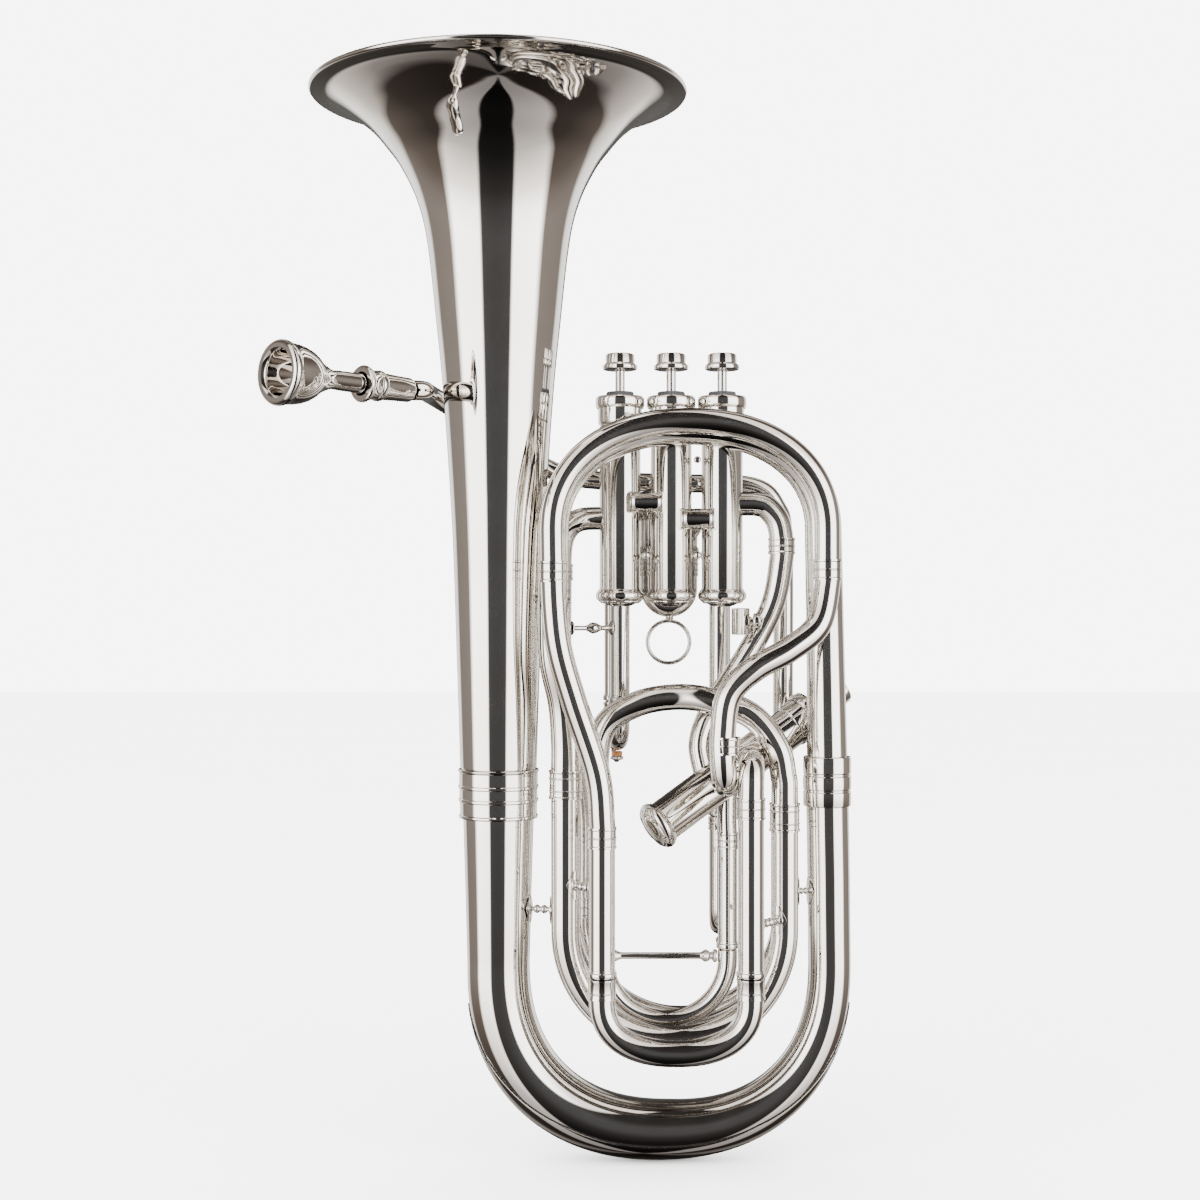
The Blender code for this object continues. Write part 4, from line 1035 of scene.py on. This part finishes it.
class HORN_OT_stage(Piece):
    """Pale floor, soft studio surroundings, two side lights and the camera"""
    bl_idname = "horn.stage"
    bl_label = "Stage"

    def execute(self, context):
        bpy.ops.object.select_all(action="DESELECT")
        floor_z = CAD_BOX[0][2]
        bpy.ops.mesh.primitive_grid_add(x_subdivisions=8, y_subdivisions=8, size=12, location=(0, 0, floor_z))
        floor = bpy.context.object
        floor.name = "floor"
        bpy.ops.object.transform_apply(location=True, rotation=True, scale=True)
        mat, tree = new_finish("pale_floor")
        shader = tree.nodes["Principled BSDF"]
        ramp(tree, noise(tree, 3, 2).outputs["Fac"], [(0.3, (0.86, 0.86, 0.86)), (0.7, (0.88, 0.88, 0.88))],
             shader.inputs["Base Color"])
        shader.inputs["Roughness"].default_value = 0.9
        shader.inputs["Specular IOR Level"].default_value = 0.1
        floor.data.materials.append(mat)
        floor.visible_glossy = False
        self.surroundings()
        for name, x, power in (("key", -1.5, 16.0), ("fill", 1.6, 12.0)):
            self.light(name, (x, -1.0, 1.2), power * context.scene.horn.softbox)
        self.camera()
        return {"FINISHED"}

    def light(self, name, place, power):
        lamp = bpy.data.lights.new(name, "AREA")
        lamp.shape = "RECTANGLE"
        lamp.size, lamp.size_y = 0.7, 1.6
        lamp.energy = power
        obj = bpy.data.objects.new(name, lamp)
        obj.location = place
        aim = Vector((0, 0, 0.35)) - Vector(place)
        obj.rotation_euler = aim.to_track_quat("-Z", "Y").to_euler()
        obj.visible_camera = False
        obj.visible_glossy = False
        bpy.context.scene.collection.objects.link(obj)

    def surroundings(self):
        """White side screens with a dark gap in front, as polished tubing needs to read as round."""
        world = bpy.data.worlds.new("studio")
        bpy.context.scene.world = world
        world.use_nodes = True
        tree = world.node_tree
        tree.nodes.clear()
        out = tree.nodes.new("ShaderNodeOutputWorld")
        coords = tree.nodes.new("ShaderNodeTexCoord")
        split = tree.nodes.new("ShaderNodeSeparateXYZ")
        tree.links.new(coords.outputs["Generated"], split.inputs["Vector"])

        def maths(kind, *values):
            node = tree.nodes.new("ShaderNodeMath")
            node.operation = kind
            for socket, value in zip(node.inputs, values):
                if isinstance(value, (int, float)):
                    socket.default_value = value
                else:
                    tree.links.new(value, socket)
            return node.outputs["Value"]

        x, y, z = (split.outputs[k] for k in "XYZ")
        flat = maths("SQRT", maths("ADD", maths("ADD", maths("MULTIPLY", x, x), maths("MULTIPLY", y, y)),
            1e-4))
        front = maths("DIVIDE", y, flat)
        round_ramp = ramp(tree, maths("MULTIPLY_ADD", front, 0.5, 0.5), [
            (0.0, (0.085, 0.083, 0.086)), (0.042, (0.10, 0.098, 0.10)), (0.06, (5.5, 5.5, 5.5)),
            (0.33, (6.0, 6.0, 6.0)), (0.385, (2.2, 2.1, 2.0)), (0.42, (0.36, 0.315, 0.285)),
            (0.80, (0.31, 0.27, 0.245)), (0.86, (1.9, 1.85, 1.8)), (0.955, (2.2, 2.15, 2.1)),
            (0.975, (0.14, 0.135, 0.13))], None)
        height = ramp(tree, maths("MULTIPLY_ADD", z, 0.5, 0.5), [
            (0.0, (0.05, 0.046, 0.045)), (0.16, (0.16, 0.15, 0.145)), (0.31, (0.48, 0.45, 0.43)),
            (0.40, (0.85, 0.84, 0.83)), (0.46, (1, 1, 1)), (0.62, (1, 1, 1)), (0.76, (0.42, 0.39, 0.37)),
            (1.0, (0.30, 0.27, 0.25))], None)
        product = tree.nodes.new("ShaderNodeMix")
        product.data_type = "RGBA"
        product.blend_type = "MULTIPLY"
        product.inputs["Factor"].default_value = 1.0
        tree.links.new(round_ramp.outputs["Color"], product.inputs[6])
        tree.links.new(height.outputs["Color"], product.inputs[7])
        seen = tree.nodes.new("ShaderNodeBackground")
        seen.inputs["Color"].default_value = (1, 1, 1, 1)
        seen.inputs["Strength"].default_value = 7.0
        mirrored = tree.nodes.new("ShaderNodeBackground")
        tree.links.new(product.outputs[2], mirrored.inputs["Color"])
        path = tree.nodes.new("ShaderNodeLightPath")
        mix = tree.nodes.new("ShaderNodeMixShader")
        tree.links.new(path.outputs["Is Glossy Ray"], mix.inputs["Fac"])
        tree.links.new(seen.outputs["Background"], mix.inputs[1])
        tree.links.new(mirrored.outputs["Background"], mix.inputs[2])
        tree.links.new(mix.outputs["Shader"], out.inputs["Surface"])

    def camera(self):
        data = bpy.data.cameras.new("view")
        data.lens, data.sensor_width = 54.96, 36.0
        camera = bpy.data.objects.new("view", data)
        camera.location = (-0.0411, -1.177, 0.358)
        camera.rotation_euler = (math.radians(90), 0, 0)
        bpy.context.scene.collection.objects.link(camera)
        bpy.context.scene.camera = camera


# ------------------------------------------------------------ panel and start

STEPS = (HORN_OT_bell, HORN_OT_bottom_bow, HORN_OT_main_branch, HORN_OT_lower_tubing, HORN_OT_tuning_slide,
    HORN_OT_fourth_loop, HORN_OT_valves, HORN_OT_small_slides, HORN_OT_air_way, HORN_OT_mouthpiece,
    HORN_OT_braces, HORN_OT_fittings, HORN_OT_stage)


class HORN_PT_panel(bpy.types.Panel):
    """Lists the horn's sizes, colours and modelling steps"""
    bl_label = "Upright Horn"
    bl_idname = "HORN_PT_panel"
    bl_space_type = "VIEW_3D"
    bl_region_type = "UI"
    bl_category = "Horn"

    def draw(self, context):
        for key in HornLook.__annotations__:
            self.layout.prop(context.scene.horn, key)
        for step in STEPS:
            self.layout.operator(step.bl_idname)


CLASSES = (HornLook, *STEPS, HORN_PT_panel)


def register():
    for cls in CLASSES:
        bpy.utils.register_class(cls)
    bpy.types.Scene.horn = bpy.props.PointerProperty(type=HornLook)


def unregister():
    del bpy.types.Scene.horn
    for cls in reversed(CLASSES):
        bpy.utils.unregister_class(cls)


def main():
    register()
    for step in STEPS:
        group, name = step.bl_idname.split(".")
        getattr(getattr(bpy.ops, group), name)()


if __name__ == "__main__":
    main()
